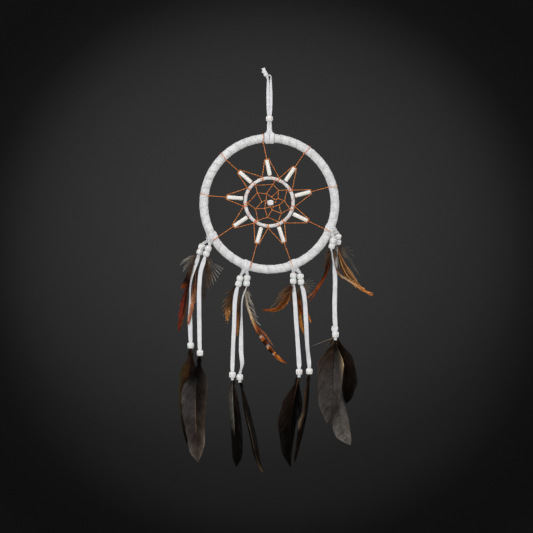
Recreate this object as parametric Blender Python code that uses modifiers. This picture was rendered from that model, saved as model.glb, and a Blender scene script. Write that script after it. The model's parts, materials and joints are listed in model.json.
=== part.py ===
"""Dream catcher: a wrapped hoop hung on a lace loop, with a thread star and net inside it.

Nine tube beads sit on the star's spokes, and eight laces with beads and feathers hang from four
ties on the hoop's lower half.  The frame is in metres with +Z up.  The origin is the point where
the hanging loop rests on its hook, the hoop lies in the XZ plane, and -Y is the front.
Every number below is in millimetres or degrees, and MM turns it into metres.
"""

import math

import bmesh
import bpy
from mathutils import Matrix, Vector

MM = 0.001
FRONT = Vector((0, -1, 0))

# Hoop: a wooden ring inside a wound suede wrap
HOOP_CENTRE = Vector((0, 0, -146.5))
HOOP_R = 75.0
HOOP_CORE_R = 2.3
HOOP_BORE_R = 3.1
HOOP_WRAP_R = 5.0
WRAP_SEAM = 1.5  # half the wrap's gap, hidden under the hitch

# Small ring in the middle, built the same way
RING_CENTRE = Vector((-0.2, 0, -144.6))
RING_R = 27.4
RING_CORE_R = 1.0
RING_BORE_R = 1.6
RING_WRAP_R = 2.15
RING_SEAM_AT = 84.0

# Lace bands round the hoop.  Angles run clockwise from the top, seen from the front.
HITCH_BORE_R = 5.6
HITCH_OUTER_R = 6.9
HITCH_HALF_ANGLE = 5.0
TIE_BORE_R = 5.35
TIE_OUTER_R = 6.4
TIES = {"left": (240.0, 4.2), "lower_left": (200.5, 4.2), "lower_right": (158.5, 4.2), "right": (112.5, 3.6)}

# Waxed thread
THREAD_HALF = 0.4
SPOKE_ON_HOOP = (-6.0, 34.6, 74.4, 114.6, 159.8, 196.7, 237.1, 277.3, 315.1)
SPOKE_ON_RING = (2.9, 38.2, 76.4, 116.3, 158.8, 197.5, 235.7, 278.2, 318.1)
STAR_ON_RING = (22.8, 62.7, 100.0, 143.9, 182.4, 216.0, 260.8, 302.8, 344.4)
UNDER_A_TIE = (3, 4, 5, 6)  # spokes whose outer end goes under a tie
HOOP_TURN_R = 5.95
RING_TURN_R = 3.0

# Tube beads on the spokes
TUBE_R = 2.3
TUBE_BORE_R = 1.0
TUBE_LENGTH = 17.4
TUBE_START = 3.8  # from the ring's centre line to the bead's inner end

# Barrel beads
BEAD_R = 3.75
BEAD_HALF = 3.4
BEAD_BORE_R = 2.4
PAIR_SPACING = 6.3

# Lace
LACE_WIDTH = 5.2
LACE_THICK = 1.1
PINCHED_WIDTH = 3.3  # inside a bead
PINCHED_THICK = 0.9
LACE_BACK = -0.95  # how far in front of a low bead's axis the lace runs through it
QUILL_BACK = 0.35
SECOND_QUILL_BACK = 1.6
QUILL_HALF = 0.35
VANE_HALF = 0.5
HACKLE_FORWARD = -1.35

# Hanging loop, from the hoop's top to the hook
LOOP_BEAD_Z = -49.3
LOOP_FOOT_Z = -64.2
LOOP_LACE = 2.6

# The net: knots in the small ring, as (x, z) from its centre, and the threads between them
NET_ON_RING = {"A1": 15.4, "A2": 55.7, "A3": 108.0, "A4": 155.4, "A5": 212.0, "A6": 266.6, "A7": 320.7}
NET_KNOTS = {
    "N1": (4.4, 20.4), "P1": (-13.6, 10.6), "P2": (-3.2, 9.7), "P3": (10.8, 13.5), "P4": (17.5, 1.4),
    "P5": (13.9, -13.1), "P6": (-1.7, -17.6), "P7": (-15.7, -7.9), "Q1": (-8.6, 0.4), "Q2": (2.8, 5.7),
    "Q3": (10.1, 4.2), "Q4": (11.3, -3.3), "Q5": (3.2, -9.0), "Q6": (-5.3, -7.4), "L1": (-3.6, 2.1),
    "L2": (-4.3, -1.2), "L3": (1.3, -5.5), "L4": (4.9, -5.2), "L5": (7.5, -0.2), "L6": (7.9, 2.8),
    "L7": (5.6, 3.6),
}
NET_THREADS = (
    "A1-N1 N1-A7 N1-P2 N1-P3 A2-P3 A2-P4 A3-P4 A3-P5 A4-P5 A4-P6 A5-P6 A5-P7 A6-P7 A6-P1 A7-P1 "
    "P1-P2 P1-Q1 P2-Q2 P2-L1 P3-Q2 P3-Q3 P4-Q3 P4-Q4 P5-Q4 P5-Q5 P6-Q5 P6-Q6 P7-Q6 P7-Q1 Q1-L1 "
    "Q2-L7 Q3-L6 L6-L7 L6-L5 Q4-L4 Q5-L3 Q5-L4 Q6-L2 Q6-L3 L1-L2 L3-L4 L2-L5"
)
NET_BEAD_SIZE = (7.0, 6.4, 6.4)
NET_BEAD_ROUND = 1.9
NET_BEAD_BORE_R = 1.1

# The eight laces, named for their tie, a on the left and b on the right.  y is the lace's depth,
# pivot is where it leaves the tie, route is the lace between its top and low beads, and tail is
# where its cut end shows below the low bead.  All as (x, z).
STRANDS = {
    "left_a": dict(
        y=3.2, pivot=(-70.1, -188.8), top=((-77.3, -195.5), (-79.6, -201.6)), low=(-90.0, -308.6), tail=None,
        route=((-82.6, -211.5), (-88.3, -228.2), (-90.4, -242.5), (-90.8, -273.1), (-90.4, -298.0))),
    "left_b": dict(
        y=-3.2, pivot=(-68.0, -192.4), top=((-69.7, -197.7), (-72.2, -203.9)), low=(-79.3, -317.0), tail=None,
        route=((-75.4, -213.5), (-78.6, -225.0), (-80.1, -242.5), (-80.3, -262.9), (-79.8, -306.0))),
    "lower_left_a": dict(
        y=0.0, pivot=(-30.2, -224.4), top=((-33.6, -232.1), (-35.2, -237.9)), low=(-42.3, -342.1),
        tail=(-42.3, -348.2),
        route=((-37.9, -247.5), (-39.6, -260.5), (-40.4, -286.7), (-41.3, -304.2), (-42.2, -331.0))),
    "lower_left_b": dict(
        y=0.0, pivot=(-26.0, -224.8), top=((-25.6, -231.5), (-26.2, -237.5)), low=(-33.9, -344.9),
        tail=(-33.7, -350.8),
        route=((-28.4, -247.0), (-31.2, -258.7), (-31.7, -278.0), (-32.8, -313.0), (-33.6, -333.5))),
    "lower_right_a": dict(
        y=0.0, pivot=(27.2, -223.6), top=((27.4, -229.0), (27.3, -234.9)), low=(34.0, -338.8),
        tail=(33.7, -345.0),
        route=((28.1, -245.0), (29.4, -260.5), (30.7, -282.4), (32.0, -299.9), (33.9, -327.5))),
    "lower_right_b": dict(
        y=0.0, pivot=(33.5, -223.6), top=((35.4, -229.9), (36.1, -235.9)), low=(45.6, -338.1), tail=None,
        route=((38.6, -245.5), (40.6, -258.0), (41.8, -278.0), (43.4, -308.6), (45.3, -327.0))),
    "right_a": dict(
        y=-4.2, pivot=(71.9, -183.4), top=((72.6, -188.6), (71.3, -195.0)), low=(75.5, -296.1),
        tail=(75.2, -302.4),
        route=((71.9, -205.0), (73.8, -218.5), (75.1, -235.3), (74.3, -260.4), (75.3, -285.0))),
    "right_b": dict(
        y=3.8, pivot=(77.6, -179.6), top=((78.5, -184.1), (78.3, -190.4)), low=(74.9, -289.8), tail=None,
        route=((77.2, -200.5), (76.2, -218.0), (75.4, -235.3), (74.9, -260.4), (74.9, -279.0))),
}

# The feathers under the low beads: rows of (z, left edge, quill, right edge), then the tip (x, z)
FEATHERS = {
    "left_a": (((-321.6, -95.9, -89.6, -85.0), (-333.9, -102.0, -91.0, -82.5), (-348.2, -103.0, -92.3, -81.5),
                (-372.6, -103.5, -95.9, -83.0), (-398.2, -101.0, -96.9, -88.0),
                (-411.4, -97.9, -96.4, -91.5)), (-94.8, -421.1)),
    "left_b": (((-333.8, -88.0, -80.6, -74.4), (-343.0, -94.0, -81.2, -69.3), (-360.3, -99.9, -83.4, -70.4),
                (-380.0, -100.5, -84.5, -72.4), (-398.2, -97.5, -84.0, -73.9), (-418.6, -93.3, -83.1, -73.5),
                (-431.0, -92.5, -82.0, -75.5)), (-81.6, -441.6)),
    "lower_left_a": (((-357.8, -47.1, -42.2, -36.5), (-378.0, -46.6, -41.6, -34.2), (-398.0, -45.2, -40.2, -31.4),
                      (-420.0, -43.6, -38.7, -30.2), (-437.0, -42.6, -37.8, -31.5)), (-37.8, -447.6)),
    "lower_left_b": (((-361.0, -33.2, -31.6, -27.2), (-381.3, -29.5, -27.9, -22.8), (-398.1, -26.0, -23.6, -18.6),
                      (-414.9, -22.1, -19.6, -14.6), (-435.9, -18.0, -14.6, -11.2)), (-8.6, -453.0)),
    "lower_right_a": (((-354.6, 23.6, 31.4, 36.9), (-370.0, 16.4, 28.4, 37.6), (-384.0, 12.4, 26.2, 36.6),
                       (-397.0, 9.4, 25.0, 31.0), (-412.0, 11.2, 24.4, 28.8), (-432.0, 14.4, 24.2, 25.9)),
                      (24.4, -448.2)),
    "lower_right_b": (((-348.0, 41.6, 45.0, 48.5), (-358.0, 40.2, 43.5, 46.0), (-375.6, 39.4, 42.0, 44.6),
                       (-388.0, 38.6, 40.8, 42.8), (-397.4, 33.6, 38.0, 41.2), (-409.2, 32.0, 35.8, 38.7),
                       (-421.8, 30.6, 33.0, 35.3), (-434.4, 28.2, 30.0, 31.9)), (28.9, -442.8)),
    "right_a": (((-306.0, 69.0, 74.8, 79.5), (-314.0, 58.3, 74.2, 83.0), (-326.0, 53.9, 73.2, 85.4),
                 (-343.5, 54.8, 72.5, 84.0), (-360.0, 55.8, 72.5, 82.2), (-375.0, 57.0, 71.5, 78.5),
                 (-388.0, 61.3, 69.5, 74.0)), (66.2, -397.4)),
    "right_b": (((-303.0, 76.0, 77.8, 80.0), (-310.2, 77.0, 79.5, 86.3), (-321.6, 79.5, 83.5, 95.1),
                 (-334.7, 82.5, 88.0, 98.6), (-350.5, 84.0, 91.5, 101.2), (-361.0, 84.5, 91.5, 97.7),
                 (-370.0, 85.5, 90.0, 94.5)), (88.1, -375.5)),
}
SECOND_FEATHER = (((-312.0, 74.6, 75.6, 76.6), (-345.0, 74.2, 76.0, 78.4), (-366.0, 73.2, 76.8, 81.5),
                   (-386.4, 73.2, 80.0, 89.2), (-400.4, 71.9, 82.0, 91.6), (-413.6, 76.5, 86.0, 93.3)),
                  (92.0, -422.3))

# The hackles that reach out from under the top beads: (x, z, half width) along the quill
HACKLES = {
    "left_a": ((-80.6, -206.2, 0.5), (-85.0, -217.0, 3.0), (-89.6, -228.2, 4.3), (-94.0, -246.0, 4.3),
               (-99.3, -268.0, 3.3), (-103.6, -291.0, 0.4)),
    "lower_left_b": ((-27.2, -242.0, 0.5), (-26.8, -256.1, 2.0), (-22.5, -272.8, 3.2), (-14.8, -292.0, 3.5),
                     (-7.2, -303.3, 3.2), (5.0, -318.5, 2.4), (19.6, -328.4, 0.4)),
    "lower_right_a": ((27.1, -239.2, 0.5), (25.0, -243.5, 2.4), (20.5, -253.0, 4.4), (14.0, -263.0, 4.6),
                      (5.5, -268.3, 2.2), (-8.0, -268.2, 0.4)),
    "right_b": ((78.6, -194.9, 0.5), (82.0, -208.0, 3.0), (87.5, -222.0, 4.8), (94.0, -233.5, 4.3),
                (104.0, -243.2, 2.4), (116.8, -250.4, 0.4)),
}


def on_circle(centre, radius, degrees):
    """The point of a circle in the XZ plane, clockwise from the top."""
    a = math.radians(degrees)
    return centre + Vector((math.sin(a), 0, math.cos(a))) * radius


def strand_pivot(name):
    x, z = STRANDS[name]["pivot"]
    return Vector((x, STRANDS[name]["y"], z))


def feather_pivot(name):
    """Where the lace bends, just above the low bead."""
    x, z = STRANDS[name]["low"]
    return Vector((x, STRANDS[name]["y"], z + BEAD_HALF + 0.6))


def spoke_line(i):
    """A spoke's start on the small ring's centre line, its direction outwards, and its length."""
    start = on_circle(RING_CENTRE, RING_R, SPOKE_ON_RING[i])
    end = on_circle(HOOP_CENTRE, HOOP_R, SPOKE_ON_HOOP[i])
    return start, (end - start).normalized(), (end - start).length


def net_knot(name):
    if name in NET_ON_RING:
        return on_circle(RING_CENTRE, RING_R - RING_TURN_R, NET_ON_RING[name])
    x, z = NET_KNOTS[name]
    return RING_CENTRE + Vector((x, 0, z))


def smooth(rows, per_span):
    """Rows of numbers read from a Catmull-Rom curve through the given rows."""
    rows = [Vector(row) for row in rows]
    ends = [2 * rows[0] - rows[1]] + rows + [2 * rows[-1] - rows[-2]]
    out = []
    for a, b, c, d in zip(ends, ends[1:], ends[2:], ends[3:]):
        for step in range(per_span):
            t = step / per_span
            out.append(0.5 * (2 * b + (c - a) * t + (2 * a - 5 * b + 4 * c - d) * t**2
                              + (3 * b - a - 3 * c + d) * t**3))
    return out + [rows[-1]]


def material(name, colour, roughness, metallic=0.0):
    made = bpy.data.materials.new(name)
    made.use_nodes = True
    shader = made.node_tree.nodes["Principled BSDF"]
    shader.inputs["Base Color"].default_value = (*colour, 1)
    shader.inputs["Roughness"].default_value = roughness
    shader.inputs["Metallic"].default_value = metallic
    return made


def new_object(name, points, edges, faces, finish, collection, parent=None):
    """A mesh object from points in millimetres, with its parent empty on its joint's axis."""
    mesh = bpy.data.meshes.new(name)
    mesh.from_pydata([Vector(p) * MM for p in points], edges, faces)
    made = bpy.data.objects.new(name, mesh)
    made.data.materials.append(finish)
    collection.objects.link(made)
    if parent:
        made.parent = parent
        made.matrix_parent_inverse = Matrix.Translation(-parent.location)
    return made


def pivot_empty(name, point, collection):
    made = bpy.data.objects.new(name, None)
    made.location = point * MM
    made.empty_display_size = 0.01
    collection.objects.link(made)
    return made


def loft(name, sections, finish, collection, parent=None):
    """A closed solid through sections that all have the same number of corners."""
    corners = len(sections[0])
    points = [p for section in sections for p in section]
    faces = [tuple(reversed(range(corners)))]
    for row in range(len(sections) - 1):
        for i in range(corners):
            a, b = row * corners + i, row * corners + (i + 1) % corners
            faces.append((a, b, b + corners, a + corners))
    faces.append(tuple(range(len(points) - corners, len(points))))
    made = new_object(name, points, [], faces, finish, collection, parent)
    shape = bmesh.new()
    shape.from_mesh(made.data)
    bmesh.ops.recalc_face_normals(shape, faces=shape.faces)
    shape.to_mesh(made.data)
    shape.free()
    return made


def torus(name, centre, ring_r, tube_r, segments, sides, finish, collection, parent=None):
    """A closed ring facing the front."""
    bpy.ops.mesh.primitive_torus_add(major_radius=ring_r * MM, minor_radius=tube_r * MM,
                                     major_segments=segments, minor_segments=sides)
    made = bpy.context.object
    made.name = made.data.name = name
    made.data.transform(Matrix.Translation(centre * MM) @ Matrix.Rotation(math.radians(90), 4, "X"))
    made.data.materials.append(finish)
    for other in made.users_collection:
        other.objects.unlink(made)
    collection.objects.link(made)
    if parent:
        made.parent = parent
        made.matrix_parent_inverse = Matrix.Translation(-parent.location)
    return made


def bent_tube(name, centre, ring_r, bore_r, outer_r, start, end, segments, sides, finish, collection,
              parent=None):
    """An open-ended shell round part of a ring: a circle spun along it, given its wall by Solidify."""
    shape = bmesh.new()
    first = on_circle(centre, ring_r, start)
    out = (first - centre).normalized()
    ring = []
    for i in range(sides):
        a = 2 * math.pi * i / sides
        ring.append(shape.verts.new((first + (out * math.cos(a) + FRONT * math.sin(a)) * outer_r) * MM))
    edges = [shape.edges.new((ring[i], ring[(i + 1) % sides])) for i in range(sides)]
    bmesh.ops.spin(shape, geom=ring + edges, cent=centre * MM, axis=(0, 1, 0),
                   angle=math.radians(end - start), steps=segments, use_duplicate=False)
    bmesh.ops.recalc_face_normals(shape, faces=shape.faces)
    mesh = bpy.data.meshes.new(name)
    shape.normal_update()
    probe = shape.faces[0]
    tube_middle = centre + (probe.calc_center_median() / MM - centre).normalized() * ring_r
    if probe.normal.dot(probe.calc_center_median() - tube_middle * MM) < 0:
        bmesh.ops.reverse_faces(shape, faces=shape.faces)
    shape.to_mesh(mesh)
    shape.free()
    made = bpy.data.objects.new(name, mesh)
    mesh.materials.append(finish)
    collection.objects.link(made)
    wall = made.modifiers.new("wall", "SOLIDIFY")
    wall.thickness = (outer_r - bore_r) * MM
    wall.offset = -1
    wall.use_even_offset = True
    if parent:
        made.parent = parent
        made.matrix_parent_inverse = Matrix.Translation(-parent.location)
    return made


def turned(name, profile, steps, middle, axis, finish, collection, parent=None):
    """A turned piece: a closed profile of (radius, height), down its outer side and up its bore."""
    count = len(profile)
    loop = [(i, (i + 1) % count) for i in range(count)]
    made = new_object(name, [(r, 0, h) for r, h in profile], loop, [], finish, collection)
    screw = made.modifiers.new("turn", "SCREW")
    screw.steps = screw.render_steps = steps
    screw.use_merge_vertices = True
    screw.merge_threshold = 0.00001
    made.location = middle * MM
    made.rotation_euler = axis.to_track_quat("Z", "Y").to_euler()
    if parent:
        made.parent = parent
        made.matrix_parent_inverse = Matrix.Translation(-parent.location)
    return made


def threads(name, points, edges, finish, collection, parent=None):
    """Waxed thread knotted into one web: a Skin over its lines."""
    made = new_object(name, points, edges, [], finish, collection, parent)
    skin = made.modifiers.new("thread", "SKIN")
    skin.branch_smoothing = 0
    for i, corner in enumerate(made.data.skin_vertices[0].data):
        corner.radius = (THREAD_HALF * MM, THREAD_HALF * MM)
        corner.use_root = i == 0
    plain = made.modifiers.new("plain_sides", "DECIMATE")
    plain.decimate_type = "DISSOLVE"
    plain.angle_limit = math.radians(4)
    return made


def thread_turn(points, edges, centre, degrees, ring_r, turn_r, sides, outward):
    """One turn of thread round a ring; the corner that the web pulls on is returned."""
    middle = on_circle(centre, ring_r, degrees)
    out = (middle - centre).normalized() * (1 if outward else -1)
    first = len(points)
    for i in range(sides):
        a = 2 * math.pi * i / sides
        points.append(middle + (out * math.cos(a) + FRONT * math.sin(a)) * turn_r)
        edges.append((first + i, first + (i + 1) % sides))
    return first


def ribbon(name, rows, finish, collection, parent=None):
    """A flat lace through rows of (x, y, z, width, thickness, turn): turn 0 faces the front."""
    sections = []
    for i, row in enumerate(rows):
        point = Vector(row[:3])
        ahead = Vector(rows[min(i + 1, len(rows) - 1)][:3])
        behind = Vector(rows[max(i - 1, 0)][:3])
        along = (ahead - behind).normalized()
        side = along.cross(Vector((0, 1, 0))).normalized()
        across = (Matrix.Rotation(math.radians(row[5]), 3, along) @ side) * row[3] / 2
        through = along.cross(across).normalized() * row[4] / 2
        sections.append([point + across + through, point + across - through,
                         point - across - through, point - across + through])
    return loft(name, sections, finish, collection, parent)


def bead_profile():
    return [(BEAD_BORE_R, 3.4), (3.15, 3.1), (BEAD_R, 1.4), (BEAD_R, -1.4), (3.15, -3.1), (BEAD_BORE_R, -3.4)]


def pair_profile():
    """Two barrel beads end to end, joined where they press together."""
    half = PAIR_SPACING / 2
    upper = [(r, h + half) for r, h in bead_profile()[:4]]
    lower = [(r, h - half) for r, h in bead_profile()[2:]]
    return upper + [(3.1, 0.0)] + lower


def lace_rows(name):
    """A strand's lace: pinched in its beads, full width between them."""
    s = STRANDS[name]
    y = s["y"]
    pinched = (PINCHED_WIDTH, PINCHED_THICK, 0)
    full = (LACE_WIDTH, LACE_THICK, 0)
    first, second = Vector(s["top"][0]), Vector(s["top"][1])
    down = (second - first).normalized()
    middle = (first + second) / 2
    reach = PAIR_SPACING / 2 + BEAD_HALF
    rows = [(s["pivot"][0], y, s["pivot"][1], *pinched)]
    for distance in (-reach, 0, reach):
        x, z = middle + down * distance
        rows.append((x, y, z, *pinched))
    rows += [(x, y, z, *full) for x, z in s["route"]]
    x, z = s["low"]
    rows.append((x, y + LACE_BACK, z + BEAD_HALF + 0.2, *pinched))
    rows.append((x, y + LACE_BACK, z - (1.0 if s["tail"] is None else BEAD_HALF), *pinched))
    if s["tail"]:
        rows.append((s["tail"][0], y + LACE_BACK, s["tail"][1], *pinched))
    return smooth(rows, 2)


def vane(name, rows, tip, bead, y, finish, collection, parent):
    """A quill feather: a thin lens across each row, with its bare quill up inside the bead."""
    x, z = bead
    quill = [(z + 1.0, x - QUILL_HALF, x, x + QUILL_HALF), (z - BEAD_HALF - 0.3, x - QUILL_HALF, x, x + QUILL_HALF)]
    end = (tip[1], tip[0] - 0.6, tip[0], tip[0] + 0.6)
    sections = []
    for i, (z, left, middle, right) in enumerate(quill[:1] + smooth(quill[1:] + list(rows) + [end], 2)):
        half = QUILL_HALF if i < 2 else VANE_HALF
        sections.append([(left, y, z), (middle, y - half, z), (right, y, z), (middle, y + half, z)])
    return loft(name, sections, finish, collection, parent)


def hackle(name, path, y, finish, collection, parent):
    """A slim feather along a curved quill."""
    rows = smooth(path, 2)
    sections = []
    for i, (x, z, half) in enumerate(rows):
        ahead, behind = rows[min(i + 1, len(rows) - 1)], rows[max(i - 1, 0)]
        along = Vector((ahead[0] - behind[0], ahead[1] - behind[1])).normalized()
        dx, dz = along[1] * half, -along[0] * half
        sections.append([(x - dx, y, z - dz), (x, y - 0.4, z), (x + dx, y, z + dz), (x, y + 0.4, z)])
    return loft(name, sections, finish, collection, parent)


def make_hoop(finishes, collection, hoop):
    torus("hoop_ring", HOOP_CENTRE, HOOP_R, HOOP_CORE_R, 36, 6, finishes["wood"], collection, hoop)
    bent_tube("hoop_wrap", HOOP_CENTRE, HOOP_R, HOOP_BORE_R, HOOP_WRAP_R, WRAP_SEAM, 360 - WRAP_SEAM,
              42, 8, finishes["suede"], collection, hoop)
    torus("small_ring", RING_CENTRE, RING_R, RING_CORE_R, 24, 5, finishes["steel"], collection, hoop)
    bent_tube("small_ring_wrap", RING_CENTRE, RING_R, RING_BORE_R, RING_WRAP_R, RING_SEAM_AT + WRAP_SEAM,
              RING_SEAM_AT + 360 - WRAP_SEAM, 26, 7, finishes["suede"], collection, hoop)
    for tie, (middle, half) in TIES.items():
        bent_tube(tie + "_tie", HOOP_CENTRE, HOOP_R, TIE_BORE_R, TIE_OUTER_R, middle - half, middle + half,
                  2, 10, finishes["suede"], collection, hoop)


def make_star(finishes, collection, hoop):
    """Spokes from hoop to small ring, and the zigzag from each tube bead's outer end to the ring."""
    points, edges = [], []
    star = [thread_turn(points, edges, RING_CENTRE, a, RING_R, RING_TURN_R, 8, True) for a in STAR_ON_RING]
    tube_end = TUBE_START + TUBE_LENGTH
    for i in range(len(SPOKE_ON_HOOP)):
        start, out, length = spoke_line(i)
        side = Vector((out.z, 0, -out.x))
        knot = len(points)
        points += [start + out * (tube_end + 0.9), start + out * (RING_WRAP_R + 0.4)]
        edges.append((knot, knot + 1))
        for sign, corner in ((1, star[i]), (-1, star[i - 1])):
            edges += [(knot, len(points)), (len(points), corner)]
            points.append(start + out * (tube_end + 0.7) + side * sign * (TUBE_R + 1.0))
        if i in UNDER_A_TIE:
            edges.append((knot, len(points)))
            points.append(start + out * (length - TIE_OUTER_R - 0.6))
        else:
            turn = thread_turn(points, edges, HOOP_CENTRE, SPOKE_ON_HOOP[i], HOOP_R, HOOP_TURN_R, 12, False)
            edges.append((knot, turn))
    threads("star_thread", points, edges, finishes["thread"], collection, hoop)


def make_net(finishes, collection, hoop):
    points, edges, index = [], [], {}
    for name, angle in NET_ON_RING.items():
        index[name] = thread_turn(points, edges, RING_CENTRE, angle, RING_R, RING_TURN_R, 8, False)
    for name in NET_KNOTS:
        index[name] = len(points)
        points.append(net_knot(name))
    for pair in NET_THREADS.split():
        a, b = pair.split("-")
        edges.append((index[a], index[b]))
    threads("net_thread", points, edges, finishes["thread"], collection, hoop)


def net_bead_place():
    a, b = net_knot("L2"), net_knot("L5")
    return a.lerp(b, 0.475), (b - a).normalized()


def make_net_bead(finishes, collection, cutters):
    """A rounded block threaded on the net's middle line."""
    middle, along = net_bead_place()
    pivot = pivot_empty("net_bead_pivot", middle, collection)
    turn = along.to_track_quat("X", "Z").to_matrix().to_4x4()
    shape = bmesh.new()
    bmesh.ops.create_cube(shape, size=1)
    bmesh.ops.scale(shape, vec=Vector(NET_BEAD_SIZE) * MM, verts=shape.verts)
    mesh = bpy.data.meshes.new("net_bead")
    shape.to_mesh(mesh)
    shape.free()
    bead = bpy.data.objects.new("net_bead", mesh)
    bead.data.materials.append(finishes["bead"])
    collection.objects.link(bead)
    bead.matrix_world = Matrix.Translation(middle * MM) @ turn
    bead.parent = pivot
    bead.matrix_parent_inverse = Matrix.Translation(-pivot.location)
    rounding = bead.modifiers.new("rounding", "BEVEL")
    rounding.width = NET_BEAD_ROUND * MM
    rounding.segments = 2
    shape = bmesh.new()
    bmesh.ops.create_cone(shape, cap_ends=True, segments=8, radius1=NET_BEAD_BORE_R * MM,
                          radius2=NET_BEAD_BORE_R * MM, depth=NET_BEAD_SIZE[0] * 2 * MM)
    mesh = bpy.data.meshes.new("net_bead_drill")
    shape.to_mesh(mesh)
    shape.free()
    drill = bpy.data.objects.new("net_bead_drill", mesh)
    drill.matrix_world = Matrix.Translation(middle * MM) @ turn @ Matrix.Rotation(math.radians(90), 4, "Y")
    drill.hide_render = True
    drill.display_type = "WIRE"
    cutters.objects.link(drill)
    bore = bead.modifiers.new("bore", "BOOLEAN")
    bore.operation = "DIFFERENCE"
    bore.object = drill


def make_tube_beads(finishes, collection):
    half = TUBE_LENGTH / 2
    profile = [(TUBE_BORE_R, half), (TUBE_R - 0.5, half), (TUBE_R, half - 0.6),
               (TUBE_R, 0.6 - half), (TUBE_R - 0.5, -half), (TUBE_BORE_R, -half)]
    for i in range(len(SPOKE_ON_HOOP)):
        start, out, _ = spoke_line(i)
        middle = start + out * (TUBE_START + half)
        pivot = pivot_empty(f"tube_bead_{i + 1}_pivot", middle, collection)
        turned(f"tube_bead_{i + 1}", profile, 10, middle, out, finishes["bone"], collection, pivot)


def make_hanging_loop(finishes, collection):
    """The lace over the hook, its knot with two cut ends, and the hitch that holds the hoop."""
    inside, eye = 0.4, 2.2
    narrow, flat = (LOOP_LACE, 1.0), (3.0, 1.0)
    right = [(inside, -0.7, LOOP_FOOT_Z, *narrow, 0), (inside, -0.7, LOOP_BEAD_Z, *narrow, 0),
             (inside + 0.1, -0.7, -38.0, *narrow, 0), (inside + 0.2, -0.7, -28.0, *narrow, 0),
             (1.5, -0.5, -19.0, *flat, 20), (2.1, -0.2, -11.0, *flat, 65), (eye, 0, -4.0, *flat, 90)]
    top = [(1.6, 0, -0.6, *flat, 90), (0, 0, 0.65, *flat, 90), (-1.6, 0, -0.6, *flat, 90)]
    left = [(-x, -y, z, w, t, 180 - turn if turn else 180) for x, y, z, w, t, turn in reversed(right)]
    lace = ribbon("hanging_loop", smooth(right + top + left, 2), finishes["suede"], collection)
    knot = [ribbon("tail_up", smooth([(-2.6, 0, 1.0, 2.6, 1.2, 30), (-5.0, -0.6, 4.2, 3.0, 1.2, 20),
                                      (-7.0, -1.2, 8.1, 3.0, 1.2, 0)], 2), finishes["suede"], collection),
            ribbon("tail_side", smooth([(-2.6, 0.4, 0.6, 2.6, 1.2, -30), (-5.2, 0.9, 2.6, 2.8, 1.2, -15),
                                        (-7.1, 1.4, 5.2, 2.8, 1.2, 0)], 2), finishes["suede"], collection)]
    bpy.ops.mesh.primitive_uv_sphere_add(segments=10, ring_count=6, radius=1)
    lump = bpy.context.object
    lump.data.transform(Matrix.Translation(Vector((-4.1, 0, 1.1)) * MM) @ Matrix.Diagonal((0.0026, 0.0027, 0.0034, 1)))
    return lace, knot + [lump]


def join_knot(lace, pieces, collection):
    """The knot is the same lace, so its shapes are joined to the loop and then removed."""
    for piece in pieces:
        union = lace.modifiers.new("knot", "BOOLEAN")
        union.operation = "UNION"
        union.object = piece
    bpy.context.view_layer.update()
    whole = bpy.data.meshes.new_from_object(lace.evaluated_get(bpy.context.evaluated_depsgraph_get()))
    lace.modifiers.clear()
    lace.data = whole
    for piece in pieces:
        bpy.data.objects.remove(piece)


def make_strand(name, finishes, collection):
    s = STRANDS[name]
    strand = pivot_empty(name + "_pivot", strand_pivot(name), collection)
    ribbon(name + "_lace", lace_rows(name), finishes["suede"], collection, strand)
    first, second = (Vector((x, s["y"], z)) for x, z in s["top"])
    turned(name + "_top_beads", pair_profile(), 10, (first + second) / 2, first - second,
           finishes["bead"], collection, strand)
    swing = pivot_empty(name + "_feather_pivot", feather_pivot(name), collection)
    x, z = s["low"]
    turned(name + "_low_bead", bead_profile(), 10, Vector((x, s["y"], z)), Vector((0, 0, 1)),
           finishes["bead"], collection, swing)
    rows, tip = FEATHERS[name]
    vane(name + "_feather", rows, tip, s["low"], s["y"] + QUILL_BACK, finishes["dark_feather"], collection, swing)
    if name == "right_a":
        rows, tip = SECOND_FEATHER
        vane("right_a_second_feather", rows, tip, s["low"], s["y"] + SECOND_QUILL_BACK,
             finishes["grey_feather"], collection, swing)
    if name in HACKLES:
        hackle(name + "_hackle", HACKLES[name], s["y"] + HACKLE_FORWARD, finishes["hackle"], collection, strand)


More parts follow.
